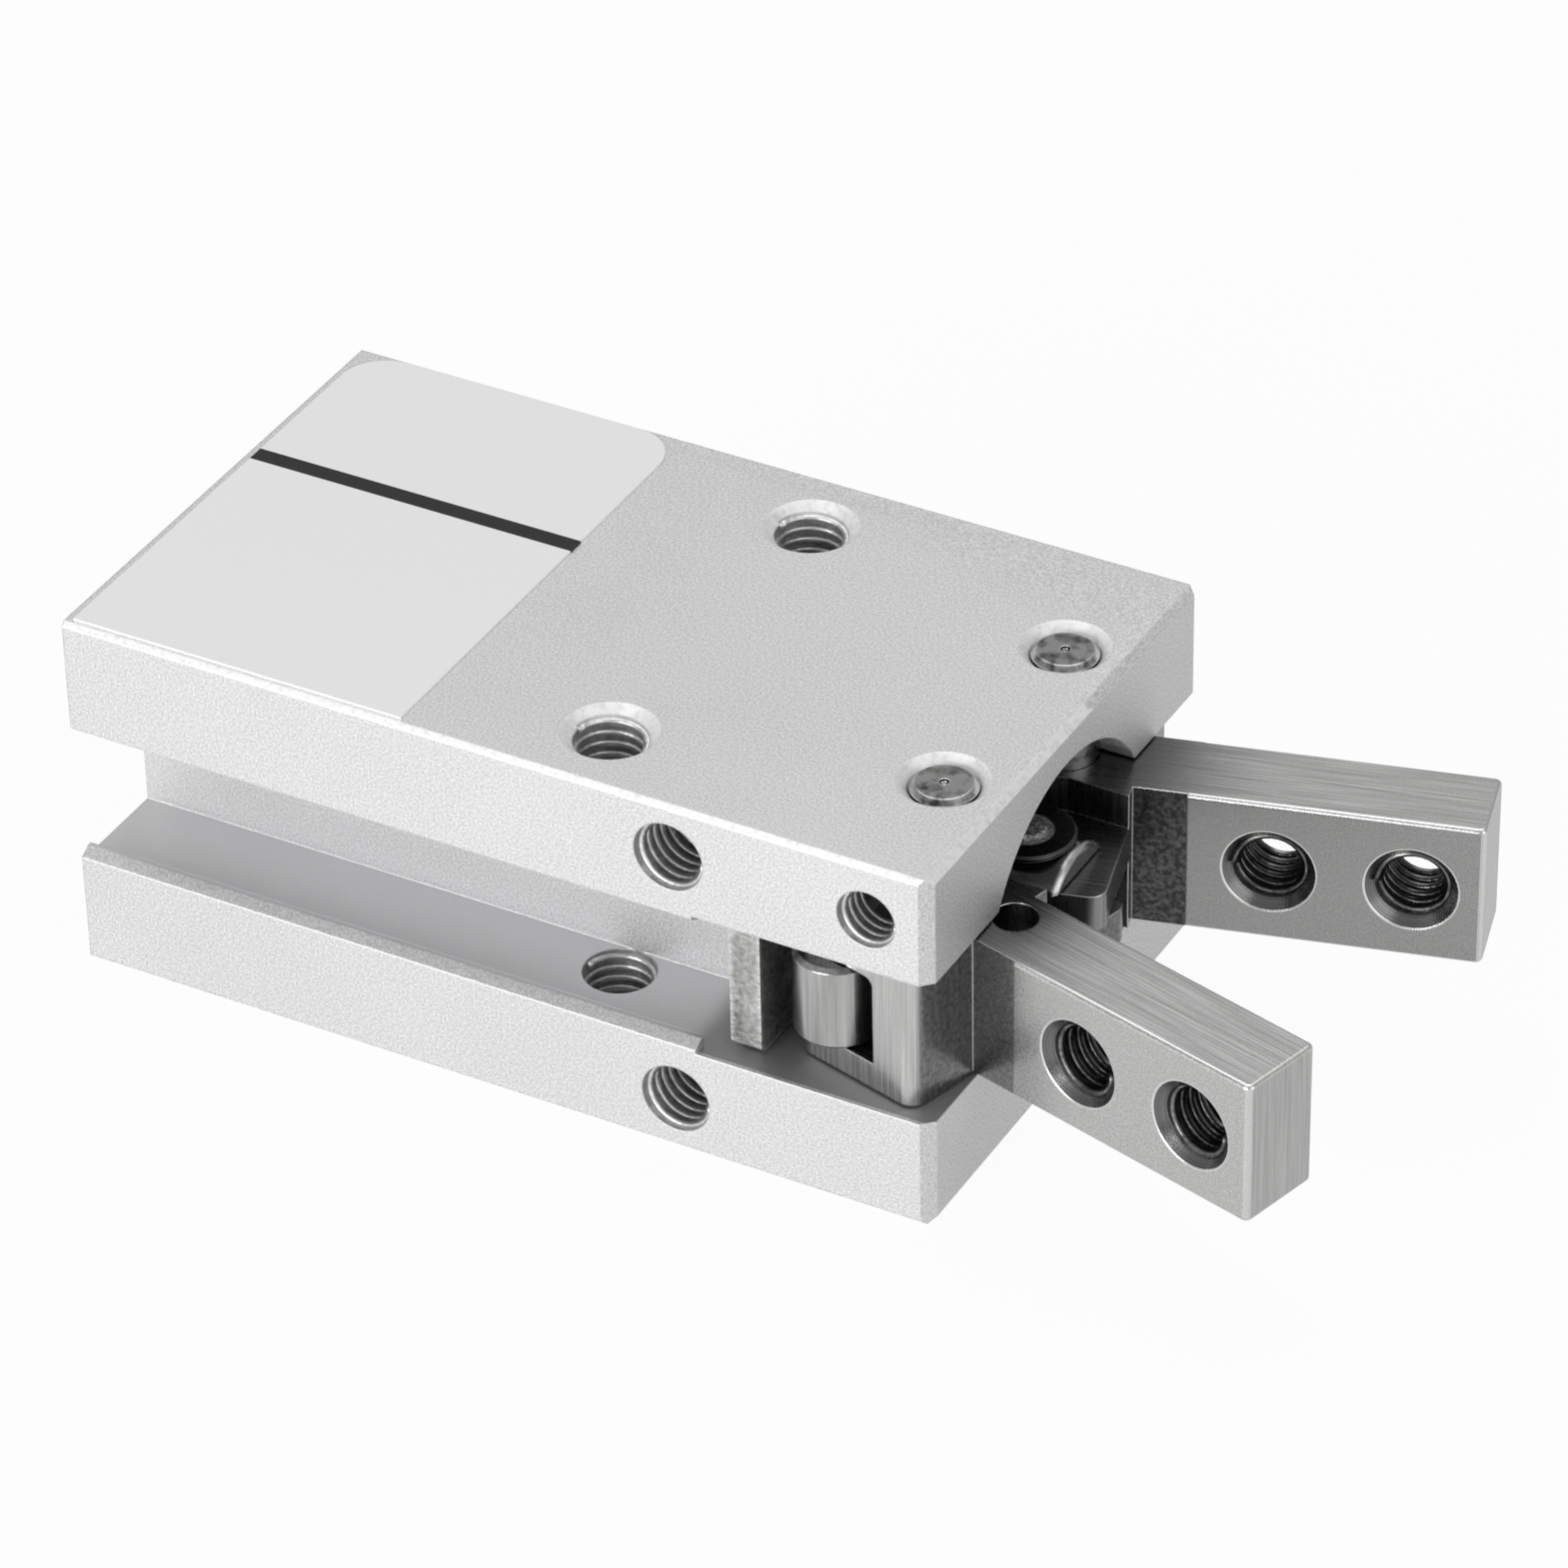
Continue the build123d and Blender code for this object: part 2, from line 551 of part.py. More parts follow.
def finger_blank() -> Part:
    """Root and bar at full height, with the rounded corners of the root."""
    root = Pos(0, 0, -HALF_FINGER) * extrude(root_plan(), amount=FINGER_HEIGHT)
    root = fillet(upright_edges(root, [(ROOT_FRONT, ROOT_OUTER), (-ROOT_REAR, ROOT_OUTER)]), ROOT_CORNER_RADIUS)
    return root + finger_bar()


def inner_ear() -> Part:
    """The finger's inner ear, in its upper half, before its pin slot is cut."""
    low = EAR_GAP / 2
    ear = slab((-EAR_REAR, ROOT_FRONT), (-EAR_REACH, 0), (low, low + EAR_THICKNESS))
    ends = upright_edges(ear, [(ROOT_FRONT, -EAR_REACH), (-EAR_REAR, -EAR_REACH)])
    return fillet(ends, EAR_CORNER_RADIUS)


def ear_slot() -> Part:
    """Slightly long hole for the pusher pin, which shifts sideways as the finger turns."""
    radius = PUSHER_PIN_RADIUS + PIN_SLIDE
    middle = -(PIVOT_OFFSET * math.cos(math.radians(OPEN_ANGLE / 2)) + EAR_SLOT_TRAVEL / 4)
    hole = SlotCenterToCenter(EAR_SLOT_TRAVEL, 2 * radius, rotation=90)
    return Pos(-EAR_PIN_SETBACK, middle, 0) * extrude(hole, amount=HALF_FINGER)


def fork_cut() -> Part:
    """The level gap of the outer fork, open to the rear and to the outside."""
    far = FINGER_REACH
    gap = slab((-far, FORK_FRONT), (FORK_FLOOR, far), (-FORK_HEIGHT / 2, FORK_HEIGHT / 2))
    corner = [edge for edge in gap.edges().filter_by(Axis.Y)
              if edge.center().X > 0 > edge.center().Z]
    return fillet(corner, FORK_CORNER_RADIUS)


def tip_holes() -> list:
    """The two tapped holes through the bar with a countersink at each mouth."""
    cuts = []
    bar = FINGER_THICKNESS / 2
    for index in range(2):
        u = FINGER_REACH - TIP_HOLE_SETBACK - index * TIP_HOLE_PITCH
        cuts.append(along_y(u, 0, THREAD_RADIUS, -ROOT_OUTER, ROOT_OUTER))
        for turn, side in ((-90, 1), (90, -1)):
            sink = Rot(turn, 0, 0) * face_countersink(TIP_COUNTERSINK_RADIUS, THREAD_RADIUS)
            cuts.append(Pos(u, side * bar, 0) * sink)
    return cuts


def finger_shape() -> Part:
    """One finger in its own frame, the lever shaft at the origin. Both fingers are this part."""
    finger = finger_blank() + inner_ear()
    finger -= along_z(0, 0, SHAFT_RADIUS + RUNNING, -HALF_HEIGHT, HALF_HEIGHT)
    finger -= ear_slot()
    finger -= fork_cut()
    finger -= along_z(ROLLER_U, ROLLER_V, ROLLER_PIN_RADIUS + SEATED, -HALF_HEIGHT, HALF_HEIGHT)
    tooling_floor = -HALF_FINGER + TOOLING_HOLE_DEPTH
    finger -= along_z(TOOLING_HOLE_U, TOOLING_HOLE_V, TOOLING_HOLE_RADIUS, -HALF_HEIGHT, tooling_floor)
    for cut in tip_holes():
        finger -= cut
    return finger


def roller_pin_shape() -> Part:
    """Pin across the outer fork, in the finger's frame."""
    half = HALF_FINGER - ROLLER_PIN_INSET
    return along_z(ROLLER_U, ROLLER_V, ROLLER_PIN_RADIUS, -half, half)


def side_roller_shape() -> Part:
    """Hardened roller in the outer fork, in the finger's frame."""
    half = ROLLER_HEIGHT / 2
    roller = along_z(ROLLER_U, ROLLER_V, ROLLER_RADIUS, -half, half)
    roller = chamfer(roller.edges().filter_by(GeomType.CIRCLE), ROLLER_EDGE)
    return roller - along_z(ROLLER_U, ROLLER_V, ROLLER_PIN_RADIUS + RUNNING, -HALF_HEIGHT, HALF_HEIGHT)


def at_open_finger(shape: Part, side: int) -> Part:
    """A finger part moved to its lever shaft at the open angle. The right one is turned over."""
    turned_over = Rot(0 if side > 0 else 180, 0, 0)
    return Pos(PIVOT_X, side * PIVOT_OFFSET, 0) * Rot(0, 0, side * OPEN_ANGLE) * turned_over * shape


def all_nodes() -> dict:
    """Every piece of the gripper by its node name."""
    nodes = {
        "body": make_body(),
        "label": make_label(),
        "rear_cap": make_rear_cap(),
        "rear_cap_seal": o_ring(BORE_RADIUS, (CAP_REAR + CAP_FRONT) / 2),
        "retaining_ring": make_retaining_ring(),
        "rear_bumper": make_rear_bumper(),
        "front_bumper": make_front_bumper(),
        "rod_guide": make_rod_guide(),
        "rod_guide_seal": o_ring(BORE_RADIUS, (GUIDE_REAR + GUIDE_FRONT - ROD_SEAL_WIDTH) / 2),
        "rod_seal": make_rod_seal(),
        "piston": make_piston(),
        "piston_seal": make_piston_seal(),
        "magnet_ring": make_magnet_ring(),
        "crosshead": make_crosshead(),
        "center_pusher": make_center_pusher(),
        "pusher_pin": make_pusher_pin(),
        "pin_collar_upper": make_pin_collar(1),
        "pin_collar_lower": make_pin_collar(-1),
    }
    for name, side in SIDES.items():
        nodes[f"lever_shaft_{name}"] = make_lever_shaft(side)
        nodes[f"set_screw_{name}"] = make_set_screw(side)
        nodes[f"finger_{name}"] = at_open_finger(finger_shape(), side)
        nodes[f"roller_pin_{name}"] = at_open_finger(roller_pin_shape(), side)
        nodes[f"side_roller_{name}"] = at_open_finger(side_roller_shape(), side)
    return nodes


def main() -> None:
    """Write one STEP file for each node and print the travel that the record states."""
    os.makedirs("parts", exist_ok=True)
    for name, shape in all_nodes().items():
        export_step(shape, os.path.join("parts", f"{name}.step"))
    print(f"stroke {STROKE:.4f} mm, pin at X {PUSHER_PIN_X:.4f}, piston length {PISTON_LENGTH:.3f}")
    print(f"web front {WEB_FRONT:.3f}, guide {GUIDE_REAR:.3f} to {GUIDE_FRONT:.3f}, ports {port_places()}")


main()
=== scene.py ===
"""Dresses the angular air gripper: finishes, label film, threads in the tapped holes, light and camera.

Lengths in the dataclasses are in millimetres, as a maker's drawing gives them, and MM turns them to metres.
"""

import logging
import math
from dataclasses import dataclass, field
from enum import Enum

import bpy
from bpy.types import Material, Node, NodeSocket, NodeTree, Object
from mathutils import Matrix, Vector


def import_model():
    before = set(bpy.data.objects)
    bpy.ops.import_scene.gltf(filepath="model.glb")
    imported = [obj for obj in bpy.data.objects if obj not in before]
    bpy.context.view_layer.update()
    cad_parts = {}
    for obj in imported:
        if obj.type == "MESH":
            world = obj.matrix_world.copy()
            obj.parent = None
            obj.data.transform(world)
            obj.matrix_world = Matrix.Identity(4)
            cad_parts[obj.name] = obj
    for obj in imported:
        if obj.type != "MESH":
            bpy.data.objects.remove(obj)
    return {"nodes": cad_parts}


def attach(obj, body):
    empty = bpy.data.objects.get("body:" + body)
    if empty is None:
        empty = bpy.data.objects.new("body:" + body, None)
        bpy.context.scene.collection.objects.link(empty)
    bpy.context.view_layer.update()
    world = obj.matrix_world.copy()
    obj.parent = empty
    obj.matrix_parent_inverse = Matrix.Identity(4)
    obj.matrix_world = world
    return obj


MM = 0.001
LOG = logging.getLogger("gripper")
UP = Vector((0.0, 0.0, 1.0))
WHITE = (1.0, 1.0, 1.0, 1.0)
NOISE_RANGE = (0.3, 0.7)
LEVER_SHAFT = (35.88, 5.1)
OPEN_ANGLE = 15.0
FINGER_HOLES = (14.3, 8.6)


class Side(Enum):
    """The two sides of the gripper. The left one is towards +Y."""

    LEFT = 1
    RIGHT = -1

    @property
    def label(self) -> str:
        """The side's word in node and piece names."""
        return self.name.lower()


def srgb(code: str) -> tuple[float, float, float, float]:
    """Turn an sRGB hex colour to the linear values that shaders take.

    Args:
        code: six hex digits with a leading #.

    Returns:
        Linear red, green and blue, and an alpha of one.
    """
    channels = [int(code[start:start + 2], 16) / 255 for start in (1, 3, 5)]
    linear = [value / 12.92 if value <= 0.04045 else ((value + 0.055) / 1.055) ** 2.4 for value in channels]
    return (*linear, 1.0)


def feed(tree: NodeTree, node: Node, inputs: dict) -> None:
    """Give a node its inputs.

    Args:
        tree: the node tree that holds the node.
        node: the node.
        inputs: input sockets by name or index, each a value or the output socket that feeds it.
    """
    for name, value in inputs.items():
        if isinstance(value, NodeSocket):
            tree.links.new(value, node.inputs[name])
        else:
            node.inputs[name].default_value = value


def add_node(tree: NodeTree, kind: str, settings: dict | None = None, inputs: dict | None = None) -> Node:
    """Add a node with its settings, its input values and its links.

    Args:
        tree: the node tree that takes the node.
        kind: the node's type name.
        settings: properties of the node by name.
        inputs: input sockets by name or index, each a value or the output socket that feeds it.

    Returns:
        The new node.
    """
    node = tree.nodes.new(kind)
    for name, value in (settings or {}).items():
        setattr(node, name, value)
    feed(tree, node, inputs or {})
    return node


def new_surface(name: str) -> tuple[Material, NodeTree, Node]:
    """Start a material that holds only a principled shader and its output.

    Args:
        name: the material's name.

    Returns:
        The material, its node tree and the shader node.
    """
    material = bpy.data.materials.new(name)
    material.use_nodes = True
    tree = material.node_tree
    tree.nodes.clear()
    shader = add_node(tree, "ShaderNodeBsdfPrincipled")
    add_node(tree, "ShaderNodeOutputMaterial", inputs={"Surface": shader.outputs["BSDF"]})
    return material, tree, shader


def mottle(tree: NodeTree, sizes: tuple[float, float, float], detail: float = 3.0) -> NodeSocket:
    """Draw an irregular pattern on the object.

    Args:
        tree: the material's node tree.
        sizes: size of a mark along each axis, in millimetres, and infinite where the pattern doesn't change.
        detail: how many finer layers of marks it has.

    Returns:
        The pattern's value.
    """
    coordinates = add_node(tree, "ShaderNodeTexCoord").outputs["Object"]
    counts = tuple(1 / (size * MM) for size in sizes)
    place = add_node(tree, "ShaderNodeMapping", inputs={"Vector": coordinates, "Scale": counts})
    inputs = {"Vector": place.outputs["Vector"], "Scale": 1.0, "Detail": detail}
    return add_node(tree, "ShaderNodeTexNoise", inputs=inputs).outputs["Fac"]


def combine(tree: NodeTree, operation: str, first: object, second: object, clamp: bool = True) -> NodeSocket:
    """Join two values by an arithmetic operation.

    Args:
        tree: the material's node tree.
        operation: the operation's name, such as MULTIPLY.
        first: the first number or socket.
        second: the second number or socket.
        clamp: whether the result stays between zero and one.

    Returns:
        The result.
    """
    settings = {"operation": operation, "use_clamp": clamp}
    return add_node(tree, "ShaderNodeMath", settings, {0: first, 1: second}).outputs["Value"]


def reach(tree: NodeTree, space: str, axis: str) -> NodeSocket:
    """Read how large one coordinate is, whatever its sign.

    Args:
        tree: the material's node tree.
        space: Object for the place in metres, or Normal for the way that the face looks.
        axis: X, Y or Z.

    Returns:
        The coordinate's size.
    """
    coordinates = add_node(tree, "ShaderNodeTexCoord").outputs[space]
    value = add_node(tree, "ShaderNodeSeparateXYZ", inputs={"Vector": coordinates}).outputs[axis]
    return combine(tree, "ABSOLUTE", value, 0.0)


def blend_colours(tree: NodeTree, factor: NodeSocket, low: object, high: object) -> NodeSocket:
    """Mix two colours by a factor.

    Args:
        tree: the material's node tree.
        factor: zero for the first colour, one for the second.
        low: the first colour or the socket that gives it.
        high: the second colour or the socket that gives it.

    Returns:
        The mixed colour.
    """
    mix = add_node(tree, "ShaderNodeMix", {"data_type": "RGBA"}, {0: factor, 6: low, 7: high})
    return mix.outputs[2]


def spread(tree: NodeTree, value: NodeSocket, low: float, high: float) -> NodeSocket:
    """Map the middle of a noise, where nearly all of it lies, onto a range.

    Args:
        tree: the material's node tree.
        value: the noise output.
        low: result for the dark end.
        high: result for the light end.

    Returns:
        The mapped value.
    """
    limits = {"From Min": NOISE_RANGE[0], "From Max": NOISE_RANGE[1], "To Min": low, "To Max": high}
    return add_node(tree, "ShaderNodeMapRange", inputs={"Value": value, **limits}).outputs["Result"]


def fade(tree: NodeTree, value: NodeSocket, none_at: float, full_at: float, full: float = 1.0) -> NodeSocket:
    """Rise smoothly from zero to a full value between two places.

    Args:
        tree: the material's node tree.
        value: the length that the fade follows, in metres.
        none_at: millimetres where the result is zero.
        full_at: millimetres where the result is full.
        full: the full value.

    Returns:
        The faded value.
    """
    limits = {"From Min": none_at * MM, "From Max": full_at * MM, "To Min": 0.0, "To Max": full}
    settings = {"interpolation_type": "SMOOTHSTEP"}
    return add_node(tree, "ShaderNodeMapRange", settings, {"Value": value, **limits}).outputs["Result"]


def soft_edges(tree: NodeTree, radius: float) -> NodeSocket:
    """Normals that round each edge by a small radius, as tumbling or deburring leaves it.

    Args:
        tree: the material's node tree.
        radius: the edge radius in millimetres.

    Returns:
        The normal output.
    """
    return add_node(tree, "ShaderNodeBevel", {"samples": 6}, {"Radius": radius * MM}).outputs["Normal"]


def painted_edge_highlight(tree: NodeTree, radius: float, start: float = 0.02, full: float = 0.16) -> NodeSocket:
    """One along the edges, where a painted highlight brightens the metal, and zero on the open faces.

    Args:
        tree: the material's node tree.
        radius: how far from the edge the painted highlight reaches, in millimetres.
        start: lean of the rounded normal from the true one where the highlight begins.
        full: lean where it is complete.

    Returns:
        The mask.
    """
    normals = {0: soft_edges(tree, radius), 1: add_node(tree, "ShaderNodeNewGeometry").outputs["Normal"]}
    lean = add_node(tree, "ShaderNodeVectorMath", {"operation": "DOT_PRODUCT"}, normals).outputs["Value"]
    limits = {"From Min": 1 - start, "From Max": 1 - full, "To Min": 0.0, "To Max": 1.0}
    return add_node(tree, "ShaderNodeMapRange", inputs={"Value": lean, **limits}).outputs["Result"]


@dataclass(frozen=True)
class BlastedAluminium:
    """Extruded aluminium, fine bead-blasted and clear anodised: a soft silver with a fine even sparkle.

    Its bead marks are about 0.05 mm across. They are drawn twice as coarse, so that they show.
    """

    name: str = "bead_blasted_anodised_aluminium"
    dark: str = "#C4C4C5"
    light: str = "#ECECED"
    roughness: float = 0.6
    rough_swing: tuple[float, float] = (-0.06, 0.08)
    grit: float = 0.1
    grit_height: float = 0.0152
    grit_strength: float = 0.55
    cloud: float = 7.0
    cloud_swing: float = 0.04
    edge: float = 0.12
    # Painted edge highlight: its colour and how far it reaches.
    edge_glint: str = "#FAFAFA"
    rub: float = 0.06
    cut_bright: tuple[float, float] = (0.4, 1.4)
    cut_grit: float = 0.3
    cut_polish: float = 0.1
    cut_matt: float = 0.4
    cut_lean: float = 0.12
    # Smooth milled tone of the channel faces, darkened by painted shade from the flanges.
    milled: str = "#CECECF"
    web_milled_shade: float = 0.05
    level_milled_shade: float = 0.8
    level_limit: float = 0.9
    channel_half: float = 3.35
    channel_side: float = 11.3
    # Painted shade on the pocket floor and ceiling, under the fingers.
    oiled: str = "#6A6A6A"
    pocket_along: tuple[float, float] = (27.3, 28.3)
    pocket_shade_share: float = 0.42
    # Painted shade on the walls of the tapped holes.
    thread_hole_shade: str = "#3A3A3A"
    thread_hole_shade_share: float = 0.28
    drill_tip: float = 0.6
    hole_slack: float = 0.03

    def build(self, holes: list["TappedHole"]) -> Material:
        """Build the material.

        Args:
            holes: the tapped holes of the body, whose walls take painted shade.

        Returns:
            The material.
        """
        material, tree, shader = new_surface(self.name)
        grain = mottle(tree, (self.grit,) * 3)
        sloping = self.sloping(tree)
        colour = self.skin(tree, grain)
        # Channel faces: smooth milled tone with painted shade.
        colour = blend_colours(tree, self.channel(tree), colour, srgb(self.milled))
        # Painted shade on the floor and ceiling of the pocket.
        colour = blend_colours(tree, self.pocket(tree), colour, srgb(self.oiled))
        # Painted highlight on the edges, and the countersinks and chamfers speckled lighter.
        colour = blend_colours(tree, self.bright(tree, sloping), colour, srgb(self.edge_glint))
        # Painted shade in the tapped holes.
        thread_hole_shade = combine(tree, "MULTIPLY", self.walls(tree, holes), self.thread_hole_shade_share)
        colour = blend_colours(tree, thread_hole_shade, colour, srgb(self.thread_hole_shade))
        normal = add_node(
            tree, "ShaderNodeBump",
            inputs={"Height": grain, "Strength": self.grit_strength, "Distance": self.grit_height * MM,
                    "Normal": soft_edges(tree, self.edge)},
        ).outputs["Normal"]
        rough = spread(tree, grain, *[self.roughness + swing for swing in self.rough_swing])
        rough = combine(tree, "SUBTRACT", rough, combine(tree, "MULTIPLY", sloping, self.cut_polish))
        metal = combine(tree, "SUBTRACT", 1.0, combine(tree, "MULTIPLY", sloping, self.cut_matt))
        feed(tree, shader, {"Base Color": colour, "Normal": normal, "Roughness": rough, "Metallic": metal})
        return material

    def skin(self, tree: NodeTree, grain: NodeSocket) -> NodeSocket:
        """Colour the blasted skin by its bead marks and by faint wide clouds.

        Args:
            tree: the material's node tree.
            grain: the noise of the bead marks.

        Returns:
            The colour.
        """
        cloud = spread(tree, mottle(tree, (self.cloud,) * 3, 2.0), -self.cloud_swing, self.cloud_swing)
        both = combine(tree, "ADD", cloud, spread(tree, grain, 0.0, 1.0))
        return blend_colours(tree, both, srgb(self.dark), srgb(self.light))

    def bright(self, tree: NodeTree, sloping: NodeSocket) -> NodeSocket:
        """Find where the metal is brighter than the skin: painted edge highlights and, speckled, the
        countersinks and chamfers.

        Args:
            tree: the material's node tree.
            sloping: the mask of the countersinks and chamfers.

        Returns:
            The share of bright metal: painted edge highlight and the speckled chamfers.
        """
        speckled = spread(tree, mottle(tree, (self.cut_grit,) * 3), *self.cut_bright)
        cut = combine(tree, "MULTIPLY", sloping, speckled)
        return combine(tree, "MAXIMUM", painted_edge_highlight(tree, self.rub), cut)

    def walls(self, tree: NodeTree, holes: list["TappedHole"]) -> NodeSocket:
        """Find the walls of the tapped holes.

        Args:
            tree: the material's node tree.
            holes: the tapped holes.

        Returns:
            One on the walls and zero elsewhere.
        """
        place = add_node(tree, "ShaderNodeTexCoord").outputs["Object"]
        found = 0.0
        for hole in holes:
            across = Vector([1 - abs(value) for value in hole.outward])
            centre = hole.mouth * across * MM
            flat = add_node(tree, "ShaderNodeVectorMath", {"operation": "MULTIPLY"}, {0: place, 1: across})
            flat = flat.outputs["Vector"]
            away = add_node(tree, "ShaderNodeVectorMath", {"operation": "DISTANCE"}, {0: flat, 1: centre})
            both = {0: place, 1: hole.outward}
            along = add_node(tree, "ShaderNodeVectorMath", {"operation": "DOT_PRODUCT"}, both)
            top = hole.mouth.dot(hole.outward) + self.hole_slack
            bottom = top - hole.length - self.drill_tip
            inside = combine(tree, "LESS_THAN", away.outputs["Value"], (hole.radius + self.hole_slack) * MM)
            within = add_node(
                tree, "ShaderNodeMath", {"operation": "COMPARE"},
                {0: along.outputs["Value"], 1: (top + bottom) / 2 * MM, 2: (top - bottom) / 2 * MM},
            ).outputs["Value"]
            found = combine(tree, "MAXIMUM", combine(tree, "MULTIPLY", inside, within), found)
        return found

    def channel(self, tree: NodeTree) -> NodeSocket:
        """Find the smooth faces that a cutter left in the side channels, which painted shade also darkens.

        Args:
            tree: the material's node tree.

        Returns:
            A high share on their floor and ceiling and a low one on the web.
        """
        low = combine(tree, "LESS_THAN", reach(tree, "Object", "Z"), self.channel_half * MM)
        inside = combine(tree, "LESS_THAN", reach(tree, "Object", "Y"), self.channel_side * MM)
        level = combine(tree, "GREATER_THAN", reach(tree, "Normal", "Z"), self.level_limit)
        share = combine(tree, "ADD", combine(tree, "MULTIPLY", level, self.level_milled_shade), self.web_milled_shade)
        return combine(tree, "MULTIPLY", combine(tree, "MULTIPLY", low, inside), share)

    def pocket(self, tree: NodeTree) -> NodeSocket:
        """Find the floor and ceiling of the pocket that the fingers swing in, which painted shade darkens.

        Args:
            tree: the material's node tree.

        Returns:
            The share of painted shade.
        """
        oil = fade(tree, reach(tree, "Object", "X"), *self.pocket_along, self.pocket_shade_share)
        level = combine(tree, "GREATER_THAN", self.channel(tree), self.level_milled_shade / 2)
        return combine(tree, "MULTIPLY", level, oil)

    def sloping(self, tree: NodeTree) -> NodeSocket:
        """Find the countersinks and chamfers, which lean by half a right angle.

        Args:
            tree: the material's node tree.

        Returns:
            One on them and zero elsewhere.
        """
        limits = {0: reach(tree, "Normal", "Z"), 1: math.sqrt(0.5), 2: self.cut_lean}
        return add_node(tree, "ShaderNodeMath", {"operation": "COMPARE"}, limits).outputs["Value"]


@dataclass(frozen=True)
class FingerSteel:
    """Hardened stainless steel: ground along the finger on top, milled upright at its ends, with painted
    shade at the hub and painted highlights on its edges.

    Its grinding lines are about 0.02 mm wide. They are drawn coarser, so that they show.
    """

    side: Side
    dark: str = "#8C8C8B"
    light: str = "#E4E4E3"
    contrast: float = 0.2
    middle: float = 0.6
    top_bottom_light: float = 0.1
    roughness: float = 0.27
    rough_swing: tuple[float, float] = (-0.05, 0.08)
    line: float = 0.055
    upright_line: float = 0.088
    grain: float = 0.09
    run: float = 4.5
    mark_height: float = 0.008
    mark_strength: float = 0.35
    edge: float = 0.1
    rub: float = 0.08
    rounded_highlight: float = 0.6
    square_limit: float = 0.97
    hole_radius: float = 1.9
    rim: float = 0.045
    hole_dark: str = "#2C2C2C"
    hole_light: str = "#6E6E6E"
    bore_shade_share: float = 0.85
    # Colour of the painted shade and of the painted dark reflection.
    oil: str = "#3C3C3C"
    strip: tuple[float, float] = (3.1, 5.3)
    strip_step: float = 0.1
    strip_shade: float = 0.64
    speck: float = 0.22
    speck_swing: tuple[float, float] = (1.0, 0.6)
    hub_along: tuple[float, float] = (3.9, 2.4)
    hub_across: tuple[float, float] = (2.9, 1.9)
    hub_shade: float = 0.72
    root_shade_along: tuple[float, float] = (9.0, 2.5)
    root_shade_share: float = 0.75
    inner_shade: float = 0.42
    tip_shade: float = 0.22

    @property
    def ahead(self) -> Vector:
        """The way that the finger points at rest."""
        angle = math.radians(OPEN_ANGLE)
        return Vector((math.cos(angle), self.side.value * math.sin(angle), 0.0))

    @property
    def inward(self) -> Vector:
        """The way that its gripping face looks at rest."""
        angle = math.radians(OPEN_ANGLE)
        return Vector((math.sin(angle), -self.side.value * math.cos(angle), 0.0))

    def place(self, tree: NodeTree) -> NodeSocket:
        """Lay the finger's own coordinates: along it, across it and up, from the lever shaft.

        Args:
            tree: the material's node tree.

        Returns:
            The coordinates in metres.
        """
        sign = self.side.value
        pivot = (LEVER_SHAFT[0] * MM, sign * LEVER_SHAFT[1] * MM, 0.0)
        turned = add_node(
            tree, "ShaderNodeMapping", {"vector_type": "TEXTURE"},
            {"Vector": add_node(tree, "ShaderNodeTexCoord").outputs["Object"], "Location": pivot,
             "Rotation": (0.0, 0.0, sign * math.radians(OPEN_ANGLE))},
        )
        return self.scaled(tree, turned.outputs["Vector"], (1.0, sign, 1.0))

    def scaled(self, tree: NodeTree, vector: NodeSocket, factors: tuple[float, float, float]) -> NodeSocket:
        """Multiply each coordinate by its own factor.

        Args:
            tree: the material's node tree.
            vector: the coordinates.
            factors: a factor for each of them.

        Returns:
            The scaled coordinates.
        """
        scaled = add_node(tree, "ShaderNodeVectorMath", {"operation": "MULTIPLY"}, {0: vector, 1: factors})
        return scaled.outputs["Vector"]

    def marks(self, tree: NodeTree, place: NodeSocket, stretch: tuple[float, float, float]) -> NodeSocket:
        """Draw a noise out along one direction.

        Args:
            tree: the material's node tree.
            place: the finger's own coordinates.
            stretch: size of the marks along each of them, in millimetres.

        Returns:
            The noise value.
        """
        counted = self.scaled(tree, place, tuple(1 / (size * MM) for size in stretch))
        noise = add_node(tree, "ShaderNodeTexNoise", inputs={"Vector": counted, "Scale": 1.0, "Detail": 3.0})
        return noise.outputs["Fac"]

    def facing(self, tree: NodeTree, heading: Vector, both: bool = True, limit: float = 0.85) -> NodeSocket:
        """Pick the faces that look along a heading.

        Args:
            tree: the material's node tree.
            heading: the direction.
            both: whether faces that look back count too.
            limit: cosine of the largest lean that still counts.

        Returns:
            One on those faces and zero on the others.
        """
        normal = add_node(tree, "ShaderNodeTexCoord").outputs["Normal"]
        lean = add_node(tree, "ShaderNodeVectorMath", {"operation": "DOT_PRODUCT"}, {0: normal, 1: heading})
        size = combine(tree, "ABSOLUTE" if both else "ADD", lean.outputs["Value"], 0.0, both)
        return combine(tree, "GREATER_THAN", size, limit)

    def from_hole(self, tree: NodeTree, place: NodeSocket) -> NodeSocket:
        """Measure how far each point is from the axis of the nearer tapped hole.

        Args:
            tree: the material's node tree.
            place: the finger's own coordinates.

        Returns:
            The distance in metres.
        """
        flat = self.scaled(tree, place, (1.0, 0.0, 1.0))
        centres = [(along * MM, 0.0, 0.0) for along in FINGER_HOLES]
        away = [
            add_node(tree, "ShaderNodeVectorMath", {"operation": "DISTANCE"}, {0: flat, 1: centre})
            for centre in centres
        ]
        return combine(tree, "MINIMUM", away[0].outputs["Value"], away[1].outputs["Value"], False)

